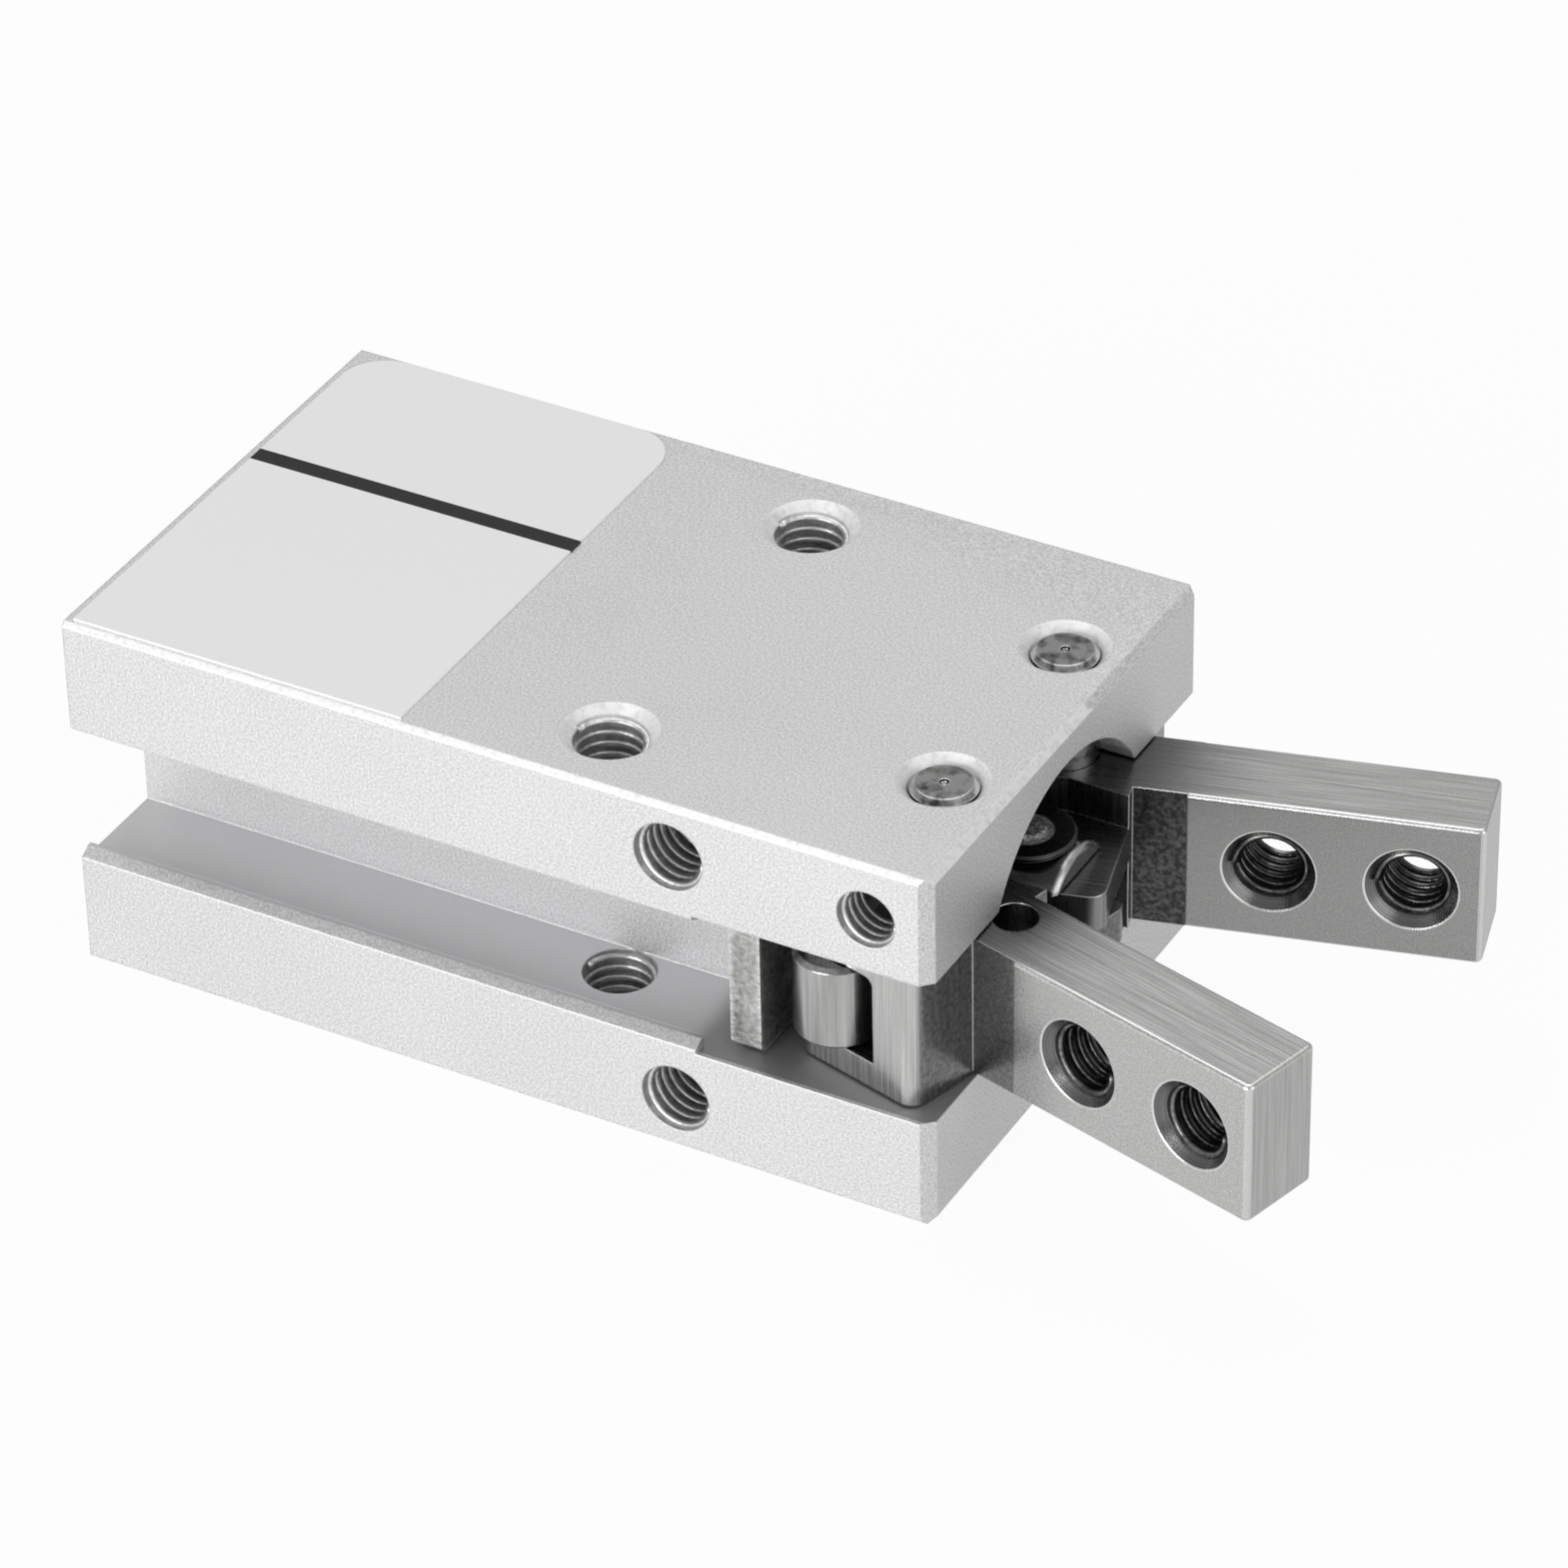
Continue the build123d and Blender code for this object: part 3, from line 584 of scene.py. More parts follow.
    def rounded(self, tree: NodeTree, along: NodeSocket) -> NodeSocket:
        """Find the rounded edges of the bar, which face none of the finger's own directions, for a painted
        highlight.

        Args:
            tree: the material's node tree.
            along: the coordinate along the finger.

        Returns:
            The share of painted highlight on them.
        """
        square = 0.0
        for heading in (self.ahead, self.inward, UP):
            square = combine(tree, "MAXIMUM", self.facing(tree, heading, limit=self.square_limit), square)
        bar = fade(tree, along, self.strip[1], self.strip[1] + self.strip_step, self.rounded_highlight)
        return combine(tree, "MULTIPLY", combine(tree, "SUBTRACT", 1.0, square), bar)

    def cuts(
        self, tree: NodeTree, place: NodeSocket, level: NodeSocket, end: NodeSocket, along: NodeSocket
    ) -> NodeSocket:
        """Draw each face's marks: ground along the top, milled upright at tip and root, even on the sides.

        Args:
            tree: the material's node tree.
            place: the finger's own coordinates.
            level: the mask of the top and the bottom.
            end: the mask of the tip's face.
            along: the coordinate along the finger.

        Returns:
            The noise value.
        """
        milled = combine(tree, "MAXIMUM", end, combine(tree, "LESS_THAN", along, self.strip[0] * MM))
        ground = self.marks(tree, place, (self.run, self.line, self.line))
        upright = self.marks(tree, place, (self.upright_line, self.upright_line, self.run))
        even = self.marks(tree, place, (self.grain,) * 3)
        sides = add_node(tree, "ShaderNodeMix", inputs={0: milled, 2: even, 3: upright}).outputs[0]
        return add_node(tree, "ShaderNodeMix", inputs={0: level, 2: sides, 3: ground}).outputs[0]

    def painted_shade(
        self, tree: NodeTree, place: NodeSocket, along: NodeSocket, across: NodeSocket, level: NodeSocket
    ) -> NodeSocket:
        """Lay painted shade on the hub and inner ear and in the ground strip, and a painted dark reflection
        that thins out along the top.

        Args:
            tree: the material's node tree.
            place: the finger's own coordinates.
            along: the coordinate along the finger.
            across: the coordinate across it.
            level: the mask of the top and the bottom.

        Returns:
            The share of painted shade.
        """
        hub = fade(tree, across, *self.hub_across, self.hub_shade)
        hub = combine(tree, "MULTIPLY", fade(tree, along, *self.hub_along), hub)
        root_shade = combine(tree, "MULTIPLY", fade(tree, along, *self.root_shade_along, self.root_shade_share), level)
        before = fade(tree, along, self.strip[1], self.strip[1] - self.strip_step / 2, self.strip_shade)
        behind = fade(tree, along, self.strip[0] - self.strip_step, self.strip[0])
        specks = spread(tree, self.marks(tree, place, (self.speck,) * 3), *self.speck_swing)
        strip = combine(tree, "MULTIPLY", combine(tree, "MULTIPLY", before, behind), specks)
        strip = combine(tree, "MULTIPLY", strip, combine(tree, "SUBTRACT", 1.0, level))
        return combine(tree, "MAXIMUM", combine(tree, "MAXIMUM", hub, root_shade), strip)

    def shaded(self, tree: NodeTree, along: NodeSocket, end: NodeSocket) -> NodeSocket:
        """Find the gripping face and the tip, which painted shade darkens.

        Args:
            tree: the material's node tree.
            along: the coordinate along the finger.
            end: the mask of the tip's face.

        Returns:
            The share of painted shade.
        """
        # Painted shade on the gripping face and the tip.
        bar = fade(tree, along, self.strip[0] - self.strip_step, self.strip[0], self.inner_shade)
        inner = combine(tree, "MULTIPLY", self.facing(tree, self.inward, False), bar)
        return combine(tree, "MAXIMUM", inner, combine(tree, "MULTIPLY", end, self.tip_shade))

    def bored(self, tree: NodeTree, colour: NodeSocket, away: NodeSocket, inside: NodeSocket) -> NodeSocket:
        """Paint shade into the countersinks and holes, with the rings that the cutter turned.

        Args:
            tree: the material's node tree.
            colour: the steel's colour so far.
            away: distance from the hole's axis, in metres.
            inside: the mask of the holes.

        Returns:
            The colour.
        """
        turned = add_node(
            tree, "ShaderNodeTexNoise", {"noise_dimensions": "1D"},
            {"W": combine(tree, "DIVIDE", away, self.line * MM, False), "Scale": 1.0, "Detail": 1.0},
        ).outputs["Fac"]
        turned = spread(tree, turned, 0.0, 1.0)
        cone = blend_colours(tree, turned, srgb(self.hole_dark), srgb(self.hole_light))
        return blend_colours(tree, combine(tree, "MULTIPLY", inside, self.bore_shade_share), colour, cone)

    def build(self) -> Material:
        """Build the material.

        Returns:
            The material.
        """
        material, tree, shader = new_surface(f"ground_stainless_steel_{self.side.label}")
        place = self.place(tree)
        axes = add_node(tree, "ShaderNodeSeparateXYZ", inputs={"Vector": place}).outputs
        along = axes["X"]
        level = self.facing(tree, UP)
        end = self.facing(tree, self.ahead)
        grain = self.cuts(tree, place, level, end, along)
        # Painted light: the top and the bottom are lighter than the sides.
        lift = combine(tree, "ADD", combine(tree, "MULTIPLY", level, self.top_bottom_light), self.middle)
        shade = combine(tree, "ADD", spread(tree, grain, -self.contrast, self.contrast), lift)
        colour = blend_colours(tree, shade, srgb(self.dark), srgb(self.light))
        # Painted shade on the hub, inner ear, ground strip, gripping face and tip, and a painted dark
        # reflection along the top.
        oil = self.painted_shade(tree, place, along, axes["Y"], level)
        film = combine(tree, "ADD", oil, self.shaded(tree, along, end))
        colour = blend_colours(tree, film, colour, srgb(self.oil))
        # Painted highlight along the edges.
        colour = blend_colours(tree, painted_edge_highlight(tree, self.rub), colour, srgb(self.light))
        away = self.from_hole(tree, place)
        inside = combine(tree, "LESS_THAN", away, (self.hole_radius - self.rim) * MM)
        # A thin painted highlight ring at the rim of each hole, and a painted highlight on the rounded edges.
        rim = combine(tree, "LESS_THAN", away, (self.hole_radius + self.rim) * MM)
        rim = combine(tree, "SUBTRACT", rim, inside)
        bright = combine(tree, "MAXIMUM", rim, self.rounded(tree, along))
        colour = blend_colours(tree, bright, colour, srgb(self.light))
        # Painted shade in the countersinks and holes.
        colour = self.bored(tree, colour, away, inside)
        normal = add_node(
            tree, "ShaderNodeBump",
            inputs={"Height": grain, "Strength": self.mark_strength, "Distance": self.mark_height * MM,
                    "Normal": soft_edges(tree, self.edge)},
        ).outputs["Normal"]
        rough = spread(tree, grain, *[self.roughness + swing for swing in self.rough_swing])
        feed(tree, shader, {"Base Color": colour, "Normal": normal, "Roughness": rough, "Metallic": 1.0})
        return material


@dataclass(frozen=True)
class TurnedMetal:
    """A metal turned or polished to a smooth skin, with faint cloudy marks of handling."""

    name: str
    dark: str
    light: str
    roughness: float = 0.22
    rough_swing: tuple[float, float] = (0.05, -0.04)
    mark: tuple[float, float, float] = (0.5, 0.5, 0.5)
    mark_height: float = 0.002
    mark_strength: float = 0.4
    edge: float = 0.08

    def build(self) -> Material:
        """Build the material.

        Returns:
            The material.
        """
        material, tree, shader = new_surface(self.name)
        cloud = mottle(tree, self.mark, 4.0)
        colour = blend_colours(tree, spread(tree, cloud, 0.0, 1.0), srgb(self.dark), srgb(self.light))
        normal = add_node(
            tree, "ShaderNodeBump",
            inputs={"Height": cloud, "Strength": self.mark_strength, "Distance": self.mark_height * MM,
                    "Normal": soft_edges(tree, self.edge)},
        ).outputs["Normal"]
        rough = spread(tree, cloud, *[self.roughness + swing for swing in self.rough_swing])
        feed(tree, shader, {"Base Color": colour, "Normal": normal, "Roughness": rough, "Metallic": 1.0})
        return material


@dataclass(frozen=True)
class PressedShaft:
    """Hardened pin pressed into the body: stained ends, a painted highlight on their rims, and painted shade
    on its wall where it enters.
    """

    name: str = "pressed_hardened_shaft"
    dark: str = "#4E4E4D"
    light: str = "#B4B4B3"
    edge_glint: str = "#F4F4F4"
    gap_shade: str = "#161616"
    roughness: float = 0.24
    stain: float = 0.55
    stain_full: float = 1.6
    rub: float = 0.2
    glint_least: float = 0.3
    wall_limit: float = 0.4
    gap_shade_from: float = 7.0

    def build(self) -> Material:
        """Build the material.

        Returns:
            The material.
        """
        material, tree, shader = new_surface(self.name)
        wall = combine(tree, "LESS_THAN", reach(tree, "Normal", "Z"), self.wall_limit)
        near_end = combine(tree, "GREATER_THAN", reach(tree, "Object", "Z"), self.gap_shade_from * MM)
        level = spread(tree, mottle(tree, (self.stain,) * 3, 6.0), 0.0, self.stain_full)
        colour = blend_colours(tree, level, srgb(self.dark), srgb(self.light))
        # Painted highlight on the rims of the ends, stronger where the stain is light.
        edge_glint = combine(tree, "ADD", level, self.glint_least)
        edge_glint = combine(tree, "MULTIPLY", painted_edge_highlight(tree, self.rub), edge_glint)
        colour = blend_colours(tree, edge_glint, colour, srgb(self.edge_glint))
        # Painted shade on the wall near the ends, where the shaft enters the body.
        colour = blend_colours(tree, combine(tree, "MULTIPLY", wall, near_end), colour, srgb(self.gap_shade))
        normal = soft_edges(tree, self.rub / 2)
        inputs = {"Base Color": colour, "Normal": normal, "Roughness": self.roughness, "Metallic": 1.0}
        feed(tree, shader, inputs)
        return material


@dataclass(frozen=True)
class RoughSteel:
    """Sintered or as-cut steel: a dull pitted skin, oily patches, and a painted highlight on the edges,
    broken into strokes.
    """

    name: str = "rough_sintered_steel"
    dark: str = "#6A6A69"
    light: str = "#D8D8D6"
    roughness: float = 0.4
    pit: float = 0.2
    pit_share: float = 0.5
    pit_depth: float = 0.05
    pit_strength: float = 0.8
    patch: float = 1.4
    patch_swing: tuple[float, float] = (-0.05, 0.45)
    edge_glint: str = "#F0F0EF"
    rub: float = 0.2
    glint_limits: tuple[float, float] = (0.01, 0.07)
    stroke: float = 0.16
    stroke_swing: tuple[float, float] = (0.3, 1.0)

    def build(self) -> Material:
        """Build the material.

        Returns:
            The material.
        """
        material, tree, shader = new_surface(self.name)
        pits = mottle(tree, (self.pit,) * 3, 5.0)
        oil = spread(tree, mottle(tree, (self.patch,) * 3), *self.patch_swing)
        both = combine(tree, "ADD", spread(tree, pits, 0.0, self.pit_share), oil)
        colour = blend_colours(tree, both, srgb(self.dark), srgb(self.light))
        # Painted highlight on the edges, broken into strokes.
        strokes = spread(tree, mottle(tree, (math.inf, math.inf, self.stroke), 0.0), *self.stroke_swing)
        edge_glint = combine(tree, "MULTIPLY", painted_edge_highlight(tree, self.rub, *self.glint_limits), strokes)
        colour = blend_colours(tree, edge_glint, colour, srgb(self.edge_glint))
        normal = add_node(
            tree, "ShaderNodeBump",
            inputs={"Height": pits, "Strength": self.pit_strength, "Distance": self.pit_depth * MM},
        ).outputs["Normal"]
        inputs = {"Base Color": colour, "Normal": normal, "Roughness": self.roughness, "Metallic": 1.0}
        feed(tree, shader, inputs)
        return material


@dataclass(frozen=True)
class FilmLabel:
    """Matt white polyester film with one printed black stripe that runs along the gripper."""

    name: str = "white_polyester_label_film"
    paper: str = "#F8F8F8"
    paper_low: str = "#F2F2F2"
    ink: str = "#1E1E1E"
    stripe_middle: float = 2.39
    stripe_half: float = 0.41
    fibre: float = 0.08
    roughness: float = 0.42
    gloss: float = 0.35

    def build(self) -> Material:
        """Build the material.

        Returns:
            The material.
        """
        material, tree, shader = new_surface(self.name)
        coordinates = add_node(tree, "ShaderNodeTexCoord").outputs["Object"]
        across = add_node(tree, "ShaderNodeSeparateXYZ", inputs={"Vector": coordinates}).outputs["Y"]
        limits = {0: across, 1: self.stripe_middle * MM, 2: self.stripe_half * MM}
        stripe = add_node(tree, "ShaderNodeMath", {"operation": "COMPARE"}, limits)
        fibre = mottle(tree, (self.fibre,) * 3, 2.0)
        paper = blend_colours(tree, fibre, srgb(self.paper_low), srgb(self.paper))
        colour = blend_colours(tree, stripe.outputs["Value"], paper, srgb(self.ink))
        gloss = {"Roughness": self.roughness, "Specular IOR Level": self.gloss}
        feed(tree, shader, {"Base Color": colour, **gloss})
        return material


@dataclass(frozen=True)
class MouldedRubber:
    """Moulded nitrile rubber or bonded ferrite: near black, with a dull even skin."""

    name: str = "moulded_nitrile_rubber"
    dark: str = "#121212"
    light: str = "#262626"
    roughness: float = 0.55
    speck: float = 0.3

    def build(self) -> Material:
        """Build the material.

        Returns:
            The material.
        """
        material, tree, shader = new_surface(self.name)
        colour = blend_colours(tree, mottle(tree, (self.speck,) * 3), srgb(self.dark), srgb(self.light))
        feed(tree, shader, {"Base Color": colour, "Roughness": self.roughness})
        return material


@dataclass
class Finishes:
    """The finish of each CAD node, by the node's name, and the finishes of the threads."""

    table: dict[str, Material] = field(default_factory=dict)
    tapped_steel: Material | None = None
    tapped_aluminium: Material | None = None

    def fill(self, holes: list["TappedHole"]) -> None:
        """Build each material once and list the nodes that take it.

        Args:
            holes: the tapped holes of the body.
        """
        # The bright edge colours and reaches given below set each material's painted edge highlight.
        black = RoughSteel(
            "black_oxide_steel", "#151515", "#4A4A4A", roughness=0.35, pit=0.25, pit_depth=0.01, patch=1.2,
            rub=0.1, edge_glint="#A8A8A7",
        ).build()
        cut_pin = RoughSteel(
            "cut_pin_steel", "#1C1C1C", "#F4F4F3", roughness=0.25, pit=0.1, pit_depth=0.15, patch=0.3,
            rub=0.08,
        ).build()
        spring = RoughSteel(
            "oiled_spring_steel", "#242424", "#55555A", roughness=0.35, pit=0.3, pit_depth=0.01, patch=1.5
        ).build()
        roller = TurnedMetal("polished_roller_steel", "#9A9A99", "#C8C8C7", 0.2, mark=(0.3, 0.3, 7.0)).build()
        roller_pin = TurnedMetal("ground_hardened_steel", "#8E8E8D", "#C6C6C5", 0.2).build()
        polished = TurnedMetal("polished_rod_steel", "#B0B0B0", "#DADADA", 0.2, edge=0.25).build()
        shaft = PressedShaft().build()
        rubber = MouldedRubber().build()
        urethane = MouldedRubber("moulded_urethane", "#242424", "#3C3C3C", 0.45).build()
        self.tapped_steel = TurnedMetal("tapped_steel", "#4C4C4B", "#8A8A89", 0.3).build()
        self.tapped_aluminium = TurnedMetal("tapped_aluminium", "#CCCCCD", "#F4F4F5", 0.4).build()
        self.table = {
            "body": BlastedAluminium().build(holes), "label": FilmLabel().build(),
            "rear_cap": TurnedMetal("turned_aluminium", "#B4B4B5", "#D0D0D1", 0.35).build(),
            "rear_cap_seal": rubber, "retaining_ring": spring,
            "rear_bumper": urethane, "front_bumper": urethane,
            "rod_guide": TurnedMetal("turned_bearing_bronze", "#8A6B3D", "#B59660", 0.32).build(),
            "rod_guide_seal": rubber, "rod_seal": rubber, "piston": polished, "piston_seal": rubber,
            "magnet_ring": MouldedRubber("bonded_ferrite", "#1A1A1A", "#303030", 0.6).build(),
            "crosshead": RoughSteel(rub=0.4).build(), "center_pusher": polished, "pusher_pin": cut_pin,
            "pin_collar_upper": black, "pin_collar_lower": black,
        }
        for side in Side:
            self.table[f"finger_{side.label}"] = FingerSteel(side).build()
            self.table[f"lever_shaft_{side.label}"] = shaft
            self.table[f"side_roller_{side.label}"] = roller
            self.table[f"roller_pin_{side.label}"] = roller_pin
            self.table[f"set_screw_{side.label}"] = black

    def dress(self, nodes: dict[str, Object]) -> None:
        """Give every CAD node its material.

        Args:
            nodes: the frame's nodes by name.
        """
        for name, node in nodes.items():
            if not node.material_slots:
                node.data.materials.append(self.table[name])
            for slot in node.material_slots:
                slot.material = self.table[name]
            LOG.info("dressed %s in %s", name, self.table[name].name)


@dataclass
class TappedHole:
    """A hole, cut with a drill, with the thread ridge that stands on its wall."""

    name: str
    body: str
    slot: str
    mouth: Vector
    outward: Vector
    length: float
    lead: float = 0.24
    radius: float = 1.5
    ridge: float = 0.25
    pitch: float = 0.5
    flank: float = 0.46
    sunk: float = 0.02
    merge: float = 0.001
    steps: int = 28

    def model(self) -> Object:
        """Wind the helical ridge and place it in its hole.

        Returns:
            The ridge.
        """
        bpy.ops.object.select_all(action="DESELECT")
        upright = (0.0, math.pi / 2, 0.0)
        bpy.ops.mesh.primitive_circle_add(vertices=3, radius=MM, fill_type="NOTHING", rotation=upright)
        ridge = bpy.context.object
        bpy.ops.object.transform_apply(location=False, rotation=True, scale=False)
        self.shape_profile(ridge)
        turns = int((self.length - self.lead) / self.pitch)
        screw = ridge.modifiers.new("screw", "SCREW")
        screw.axis = "Z"
        screw.screw_offset = self.pitch * MM
        screw.iterations = turns
        screw.steps = self.steps
        screw.render_steps = self.steps
        screw.use_normal_calculate = True
        bpy.ops.object.modifier_apply(modifier=screw.name)
        bpy.ops.object.mode_set(mode="EDIT")
        bpy.ops.mesh.select_all(action="SELECT")
        bpy.ops.mesh.remove_doubles(threshold=self.merge * MM)
        bpy.ops.mesh.fill_holes(sides=3)
        bpy.ops.mesh.select_all(action="SELECT")
        bpy.ops.mesh.normals_make_consistent(inside=False)
        bpy.ops.object.mode_set(mode="OBJECT")
        deepest = self.lead + turns * self.pitch
        facing = self.outward.to_track_quat("Z", "Y").to_matrix().to_4x4()
        sink = Matrix.Translation((0, 0, -deepest * MM))
        ridge.matrix_world = Matrix.Translation(self.mouth * MM) @ facing @ sink
        bpy.ops.object.transform_apply(location=True, rotation=True, scale=True)
        ridge.name = self.name
        ridge.data.name = self.name
        return ridge

    def shape_profile(self, profile: Object) -> None:
        """Make the three-sided outline a thread's section: its base in the wall, its crest towards the axis.

        Args:
            profile: the outline, in the XZ plane or the YZ plane, about the origin.
        """
        width = self.pitch * self.flank
        base = self.radius + self.sunk
        corners = [(self.radius - self.ridge, 0.0), (base, width), (base, -width)]
        for vertex, (out, up) in zip(profile.data.vertices, corners):
            vertex.co = Vector((out * MM, 0.0, up * MM))

    def finish(self, material: Material) -> None:
        """Model the ridge, dress it and let it ride on its body.

        Args:
            material: the thread's finish.
        """
        ridge = self.model()
        ridge.data.materials.append(material)
        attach(ridge, self.body)
        LOG.info("tapped %s, %d faces", self.name, len(ridge.data.polygons))


@dataclass
class BodyThreads:
    """The tapped holes of the aluminium body."""

    half_width: float = 11.5
    half_height: float = 8.2
    mount_x: float = 22.94
    mount_y: float = 8.1
    mount_depth: float = 4.6
    mount_lead: float = 0.45
    pocket_half: float = 3.3
    side_x: float = 27.3
    side_z: float = 5.8
    side_depth: float = 4.9
    rear_y: float = 8.0
    rear_z: float = 5.7
    rear_depth: float = 5.9
    port_x: tuple[float, float] = (7.5, 18.549)
    port_depth: float = 3.8
    screw_z: float = 5.7
    screw_depth: float = 2.2
    screw_radius: float = 1.25
    screw_ridge: float = 0.22
    screw_pitch: float = 0.45

    def hole(self, word: str, mouth: tuple, outward: tuple, length: float, **sizes: float) -> TappedHole:
        """Describe one tapped hole of the body.

        Args:
            word: what the hole's name says after the word thread.
            mouth: the place of its mouth.
            outward: the way that its mouth looks.
            length: its tapped depth.
            sizes: those of its other sizes that aren't the usual ones.

        Returns:
            The hole.
        """
        axis = (Vector(mouth), Vector(outward), length)
        return TappedHole(f"thread_{word}", "body", "body_anodised", *axis, **sizes)

    def holes(self) -> list[TappedHole]:
        """List every tapped hole of the body.

        Returns:
            The holes.
        """
        screw = {"radius": self.screw_radius, "ridge": self.screw_ridge, "pitch": self.screw_pitch}
        holes = []
        for side in Side:
            name, sign = side.label, side.value
            edge, mount = sign * self.half_width, sign * self.mount_y
            above = (self.mount_x, mount, self.half_height)
            below = (self.mount_x, mount, -self.pocket_half)
            holes.append(self.hole(f"top_{name}", above, UP, self.mount_depth, lead=self.mount_lead))
            holes.append(self.hole(f"bottom_{name}", below, UP, self.mount_depth))
            for word, up in (("top", 1), ("bottom", -1)):
                beside = (self.side_x, edge, up * self.side_z)
                behind = (0, sign * self.rear_y, up * self.rear_z)
                holes.append(self.hole(f"side_{word}_{name}", beside, (0, sign, 0), self.side_depth))
                holes.append(self.hole(f"rear_{word}_{name}", behind, (-1, 0, 0), self.rear_depth))
            clamp = (LEVER_SHAFT[0], edge, self.screw_z)
            holes.append(self.hole(f"set_screw_{name}", clamp, (0, sign, 0), self.screw_depth, **screw))
        for index, x in enumerate(self.port_x):
            holes.append(self.hole(f"port_{index + 1}", (x, self.half_width, 0), (0, 1, 0), self.port_depth))
        return holes

    def build(self, material: Material) -> None:
        """Model and dress the threads.

        Args:
            material: the threads' finish.
        """
        for hole in self.holes():
            hole.finish(material)


@dataclass
class FingerThreads:
    """The tapped holes through the bar of one finger."""

    side: Side
    thickness: float = 3.8
    lead: float = 0.42
    overrun: float = 0.04

    def build(self, material: Material) -> None:
        """Model and dress the threads.

        Args:
            material: the threads' finish.
        """
        finger = FingerSteel(self.side)
        pivot = Vector((LEVER_SHAFT[0], self.side.value * LEVER_SHAFT[1], 0))
        side = self.side.label
        for index, place in enumerate(FINGER_HOLES):
            TappedHole(
                f"thread_finger_{side}_{index + 1}", f"finger_{side}_group", "finger_steel",
                mouth=pivot + finger.ahead * place - finger.inward * (self.thickness / 2),
                outward=-finger.inward, length=self.thickness - self.lead + self.overrun, lead=self.lead,
            ).finish(material)


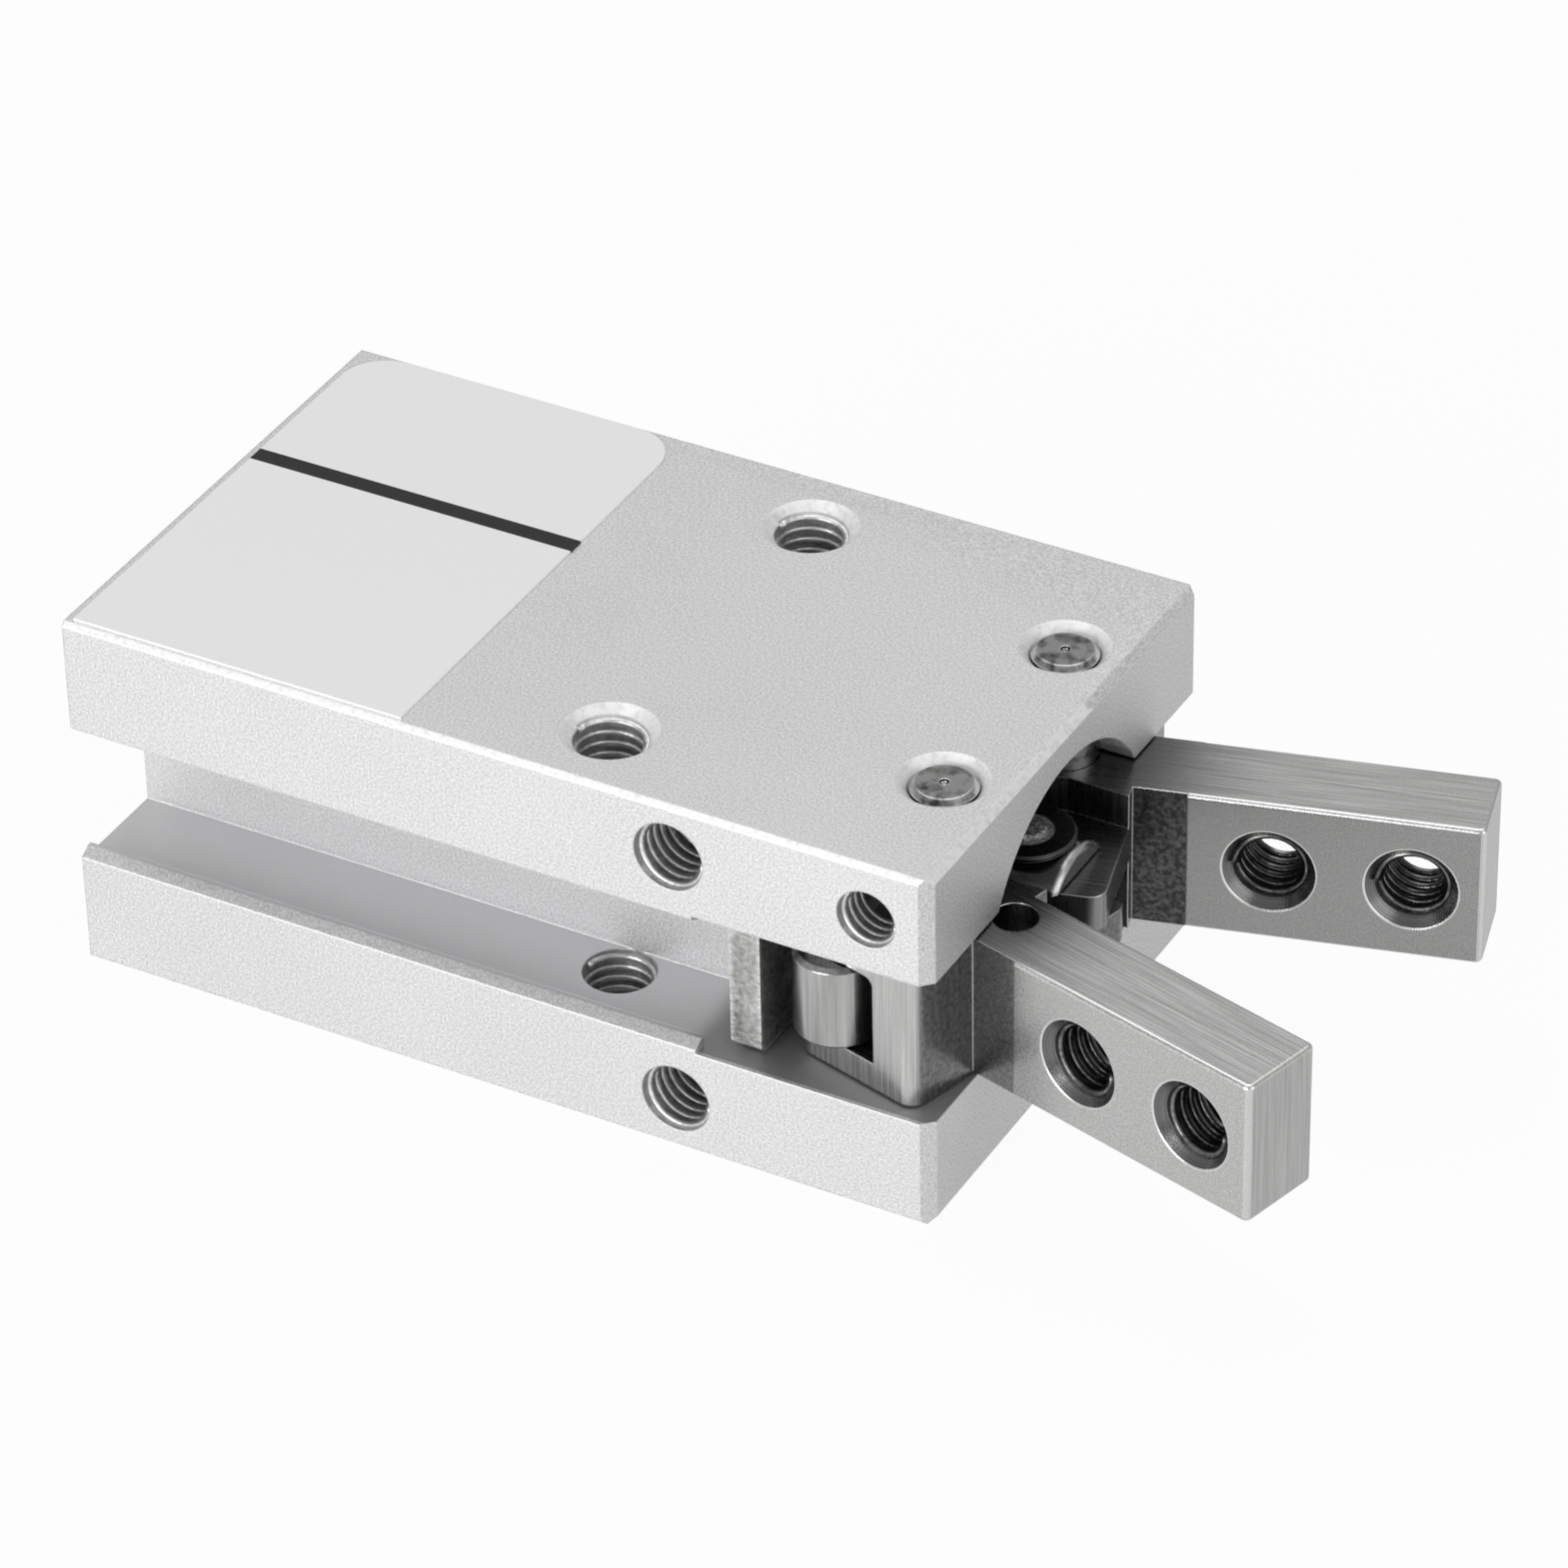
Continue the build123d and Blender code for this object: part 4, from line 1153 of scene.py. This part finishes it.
@dataclass
class Studio:
    """Plain pale floor and backdrop, soft lamps, and the camera where the photograph was taken."""

    floor_z: float = -8.23
    floor_size: float = 900.0
    paper: str = "#E4E4E4"
    paper_roughness: float = 0.9
    paper_seen: float = 0.95
    paper_mirrored: float = 0.52
    room: str = "#9C9C9C"
    room_mirrored: float = 0.15
    camera_place: tuple[float, float, float] = (149.29, -218.92, 177.47)
    camera_azimuth: float = 27.949
    camera_elevation: float = 36.583
    camera_roll: float = -0.376
    lens: float = 177.53
    shift: tuple[float, float] = (-0.1025, 0.1361)
    sensor: float = 36.0
    target: tuple[float, float, float] = (26.0, 0.0, 0.0)
    lamps: tuple = (
        ("key", (-60.0, -470.0, 80.0), 300.0, 2.2),
        ("overhead", (-60.0, 160.0, 520.0), 420.0, 1.0),
        ("front", (500.0, -100.0, 200.0), 420.0, 0.65),
    )

    def floor(self) -> None:
        """Lay the floor, white from above but for the object's soft shadow, and clear from below."""
        bpy.ops.object.select_all(action="DESELECT")
        bpy.ops.mesh.primitive_plane_add(size=self.floor_size * MM, location=(0, 0, self.floor_z * MM))
        floor = bpy.context.object
        floor.name = "floor"
        bpy.ops.object.transform_apply(location=True, rotation=False, scale=False)
        floor.data.materials.append(self.sweep())

    def sweep(self) -> Material:
        """Build the paper that the object stands on.

        Returns:
            The material.
        """
        material, tree, shader = new_surface("white_paper_sweep")
        feed(tree, shader, {"Base Color": srgb(self.paper), "Roughness": self.paper_roughness})
        rays = add_node(tree, "ShaderNodeLightPath").outputs
        seen = combine(tree, "MULTIPLY", rays["Is Camera Ray"], self.paper_seen)
        mirrored = combine(tree, "MULTIPLY", rays["Is Glossy Ray"], self.paper_mirrored)
        glow = add_node(tree, "ShaderNodeEmission", inputs={"Color": WHITE}).outputs["Emission"]
        above = add_node(
            tree, "ShaderNodeMixShader",
            inputs={0: combine(tree, "ADD", seen, mirrored), 1: shader.outputs["BSDF"], 2: glow},
        ).outputs["Shader"]
        under = add_node(tree, "ShaderNodeNewGeometry").outputs["Backfacing"]
        clear = add_node(tree, "ShaderNodeBsdfTransparent").outputs["BSDF"]
        sheet = add_node(tree, "ShaderNodeMixShader", inputs={0: under, 1: above, 2: clear})
        output = next(node for node in tree.nodes if node.type == "OUTPUT_MATERIAL")
        tree.links.new(sheet.outputs["Shader"], output.inputs["Surface"])
        return material

    def world(self) -> None:
        """Set a white backdrop for the camera and a grey studio for light and reflections."""
        world = bpy.data.worlds.new("studio")
        bpy.context.scene.world = world
        world.use_nodes = True
        tree = world.node_tree
        tree.nodes.clear()
        rays = add_node(tree, "ShaderNodeLightPath").outputs
        mirrored = combine(tree, "MULTIPLY", rays["Is Glossy Ray"], self.room_mirrored)
        seen = combine(tree, "ADD", rays["Is Camera Ray"], rays["Is Transmission Ray"])
        share = combine(tree, "ADD", seen, mirrored)
        room = add_node(tree, "ShaderNodeBackground", inputs={"Color": srgb(self.room), "Strength": 1.0})
        white = add_node(tree, "ShaderNodeBackground", inputs={"Color": WHITE, "Strength": 1.0})
        mix = add_node(
            tree, "ShaderNodeMixShader",
            inputs={0: share, 1: room.outputs["Background"], 2: white.outputs["Background"]},
        )
        add_node(tree, "ShaderNodeOutputWorld", inputs={"Surface": mix.outputs["Shader"]})

    def light(self) -> None:
        """Hang the softboxes, each turned to the object."""
        for name, place, size, power in self.lamps:
            data = bpy.data.lights.new(name, "AREA")
            data.shape = "SQUARE"
            data.size = size * MM
            data.energy = power
            lamp = bpy.data.objects.new(name, data)
            bpy.context.scene.collection.objects.link(lamp)
            lamp.location = Vector(place) * MM
            lamp.rotation_euler = (Vector(place) - Vector(self.target)).to_track_quat("Z", "Y").to_euler()

    def camera(self) -> None:
        """Place the camera that the photograph's own edges and holes give."""
        data = bpy.data.cameras.new("camera")
        data.lens = self.lens
        data.sensor_width = self.sensor
        data.shift_x, data.shift_y = self.shift
        camera = bpy.data.objects.new("camera", data)
        bpy.context.scene.collection.objects.link(camera)
        turn = Matrix.Rotation(math.radians(self.camera_azimuth), 4, "Z")
        tilt = Matrix.Rotation(math.radians(90 - self.camera_elevation), 4, "X")
        roll = Matrix.Rotation(math.radians(self.camera_roll), 4, "Z")
        camera.matrix_world = Matrix.Translation(Vector(self.camera_place) * MM) @ turn @ tilt @ roll
        bpy.context.scene.camera = camera

    def build(self) -> None:
        """Build the whole studio."""
        self.floor()
        self.world()
        self.light()
        self.camera()
        bpy.context.scene.view_settings.view_transform = "Standard"


def main() -> None:
    """Load the frame, dress it, add the threads and set up the studio."""
    logging.basicConfig(level=logging.INFO, format="%(message)s")
    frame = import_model()
    bpy.ops.object.select_all(action="DESELECT")
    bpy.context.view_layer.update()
    threads = BodyThreads()
    finishes = Finishes()
    finishes.fill(threads.holes())
    finishes.dress(frame["nodes"])
    threads.build(finishes.tapped_aluminium)
    for side in Side:
        FingerThreads(side).build(finishes.tapped_steel)
    Studio().build()


if __name__ == "__main__":
    main()
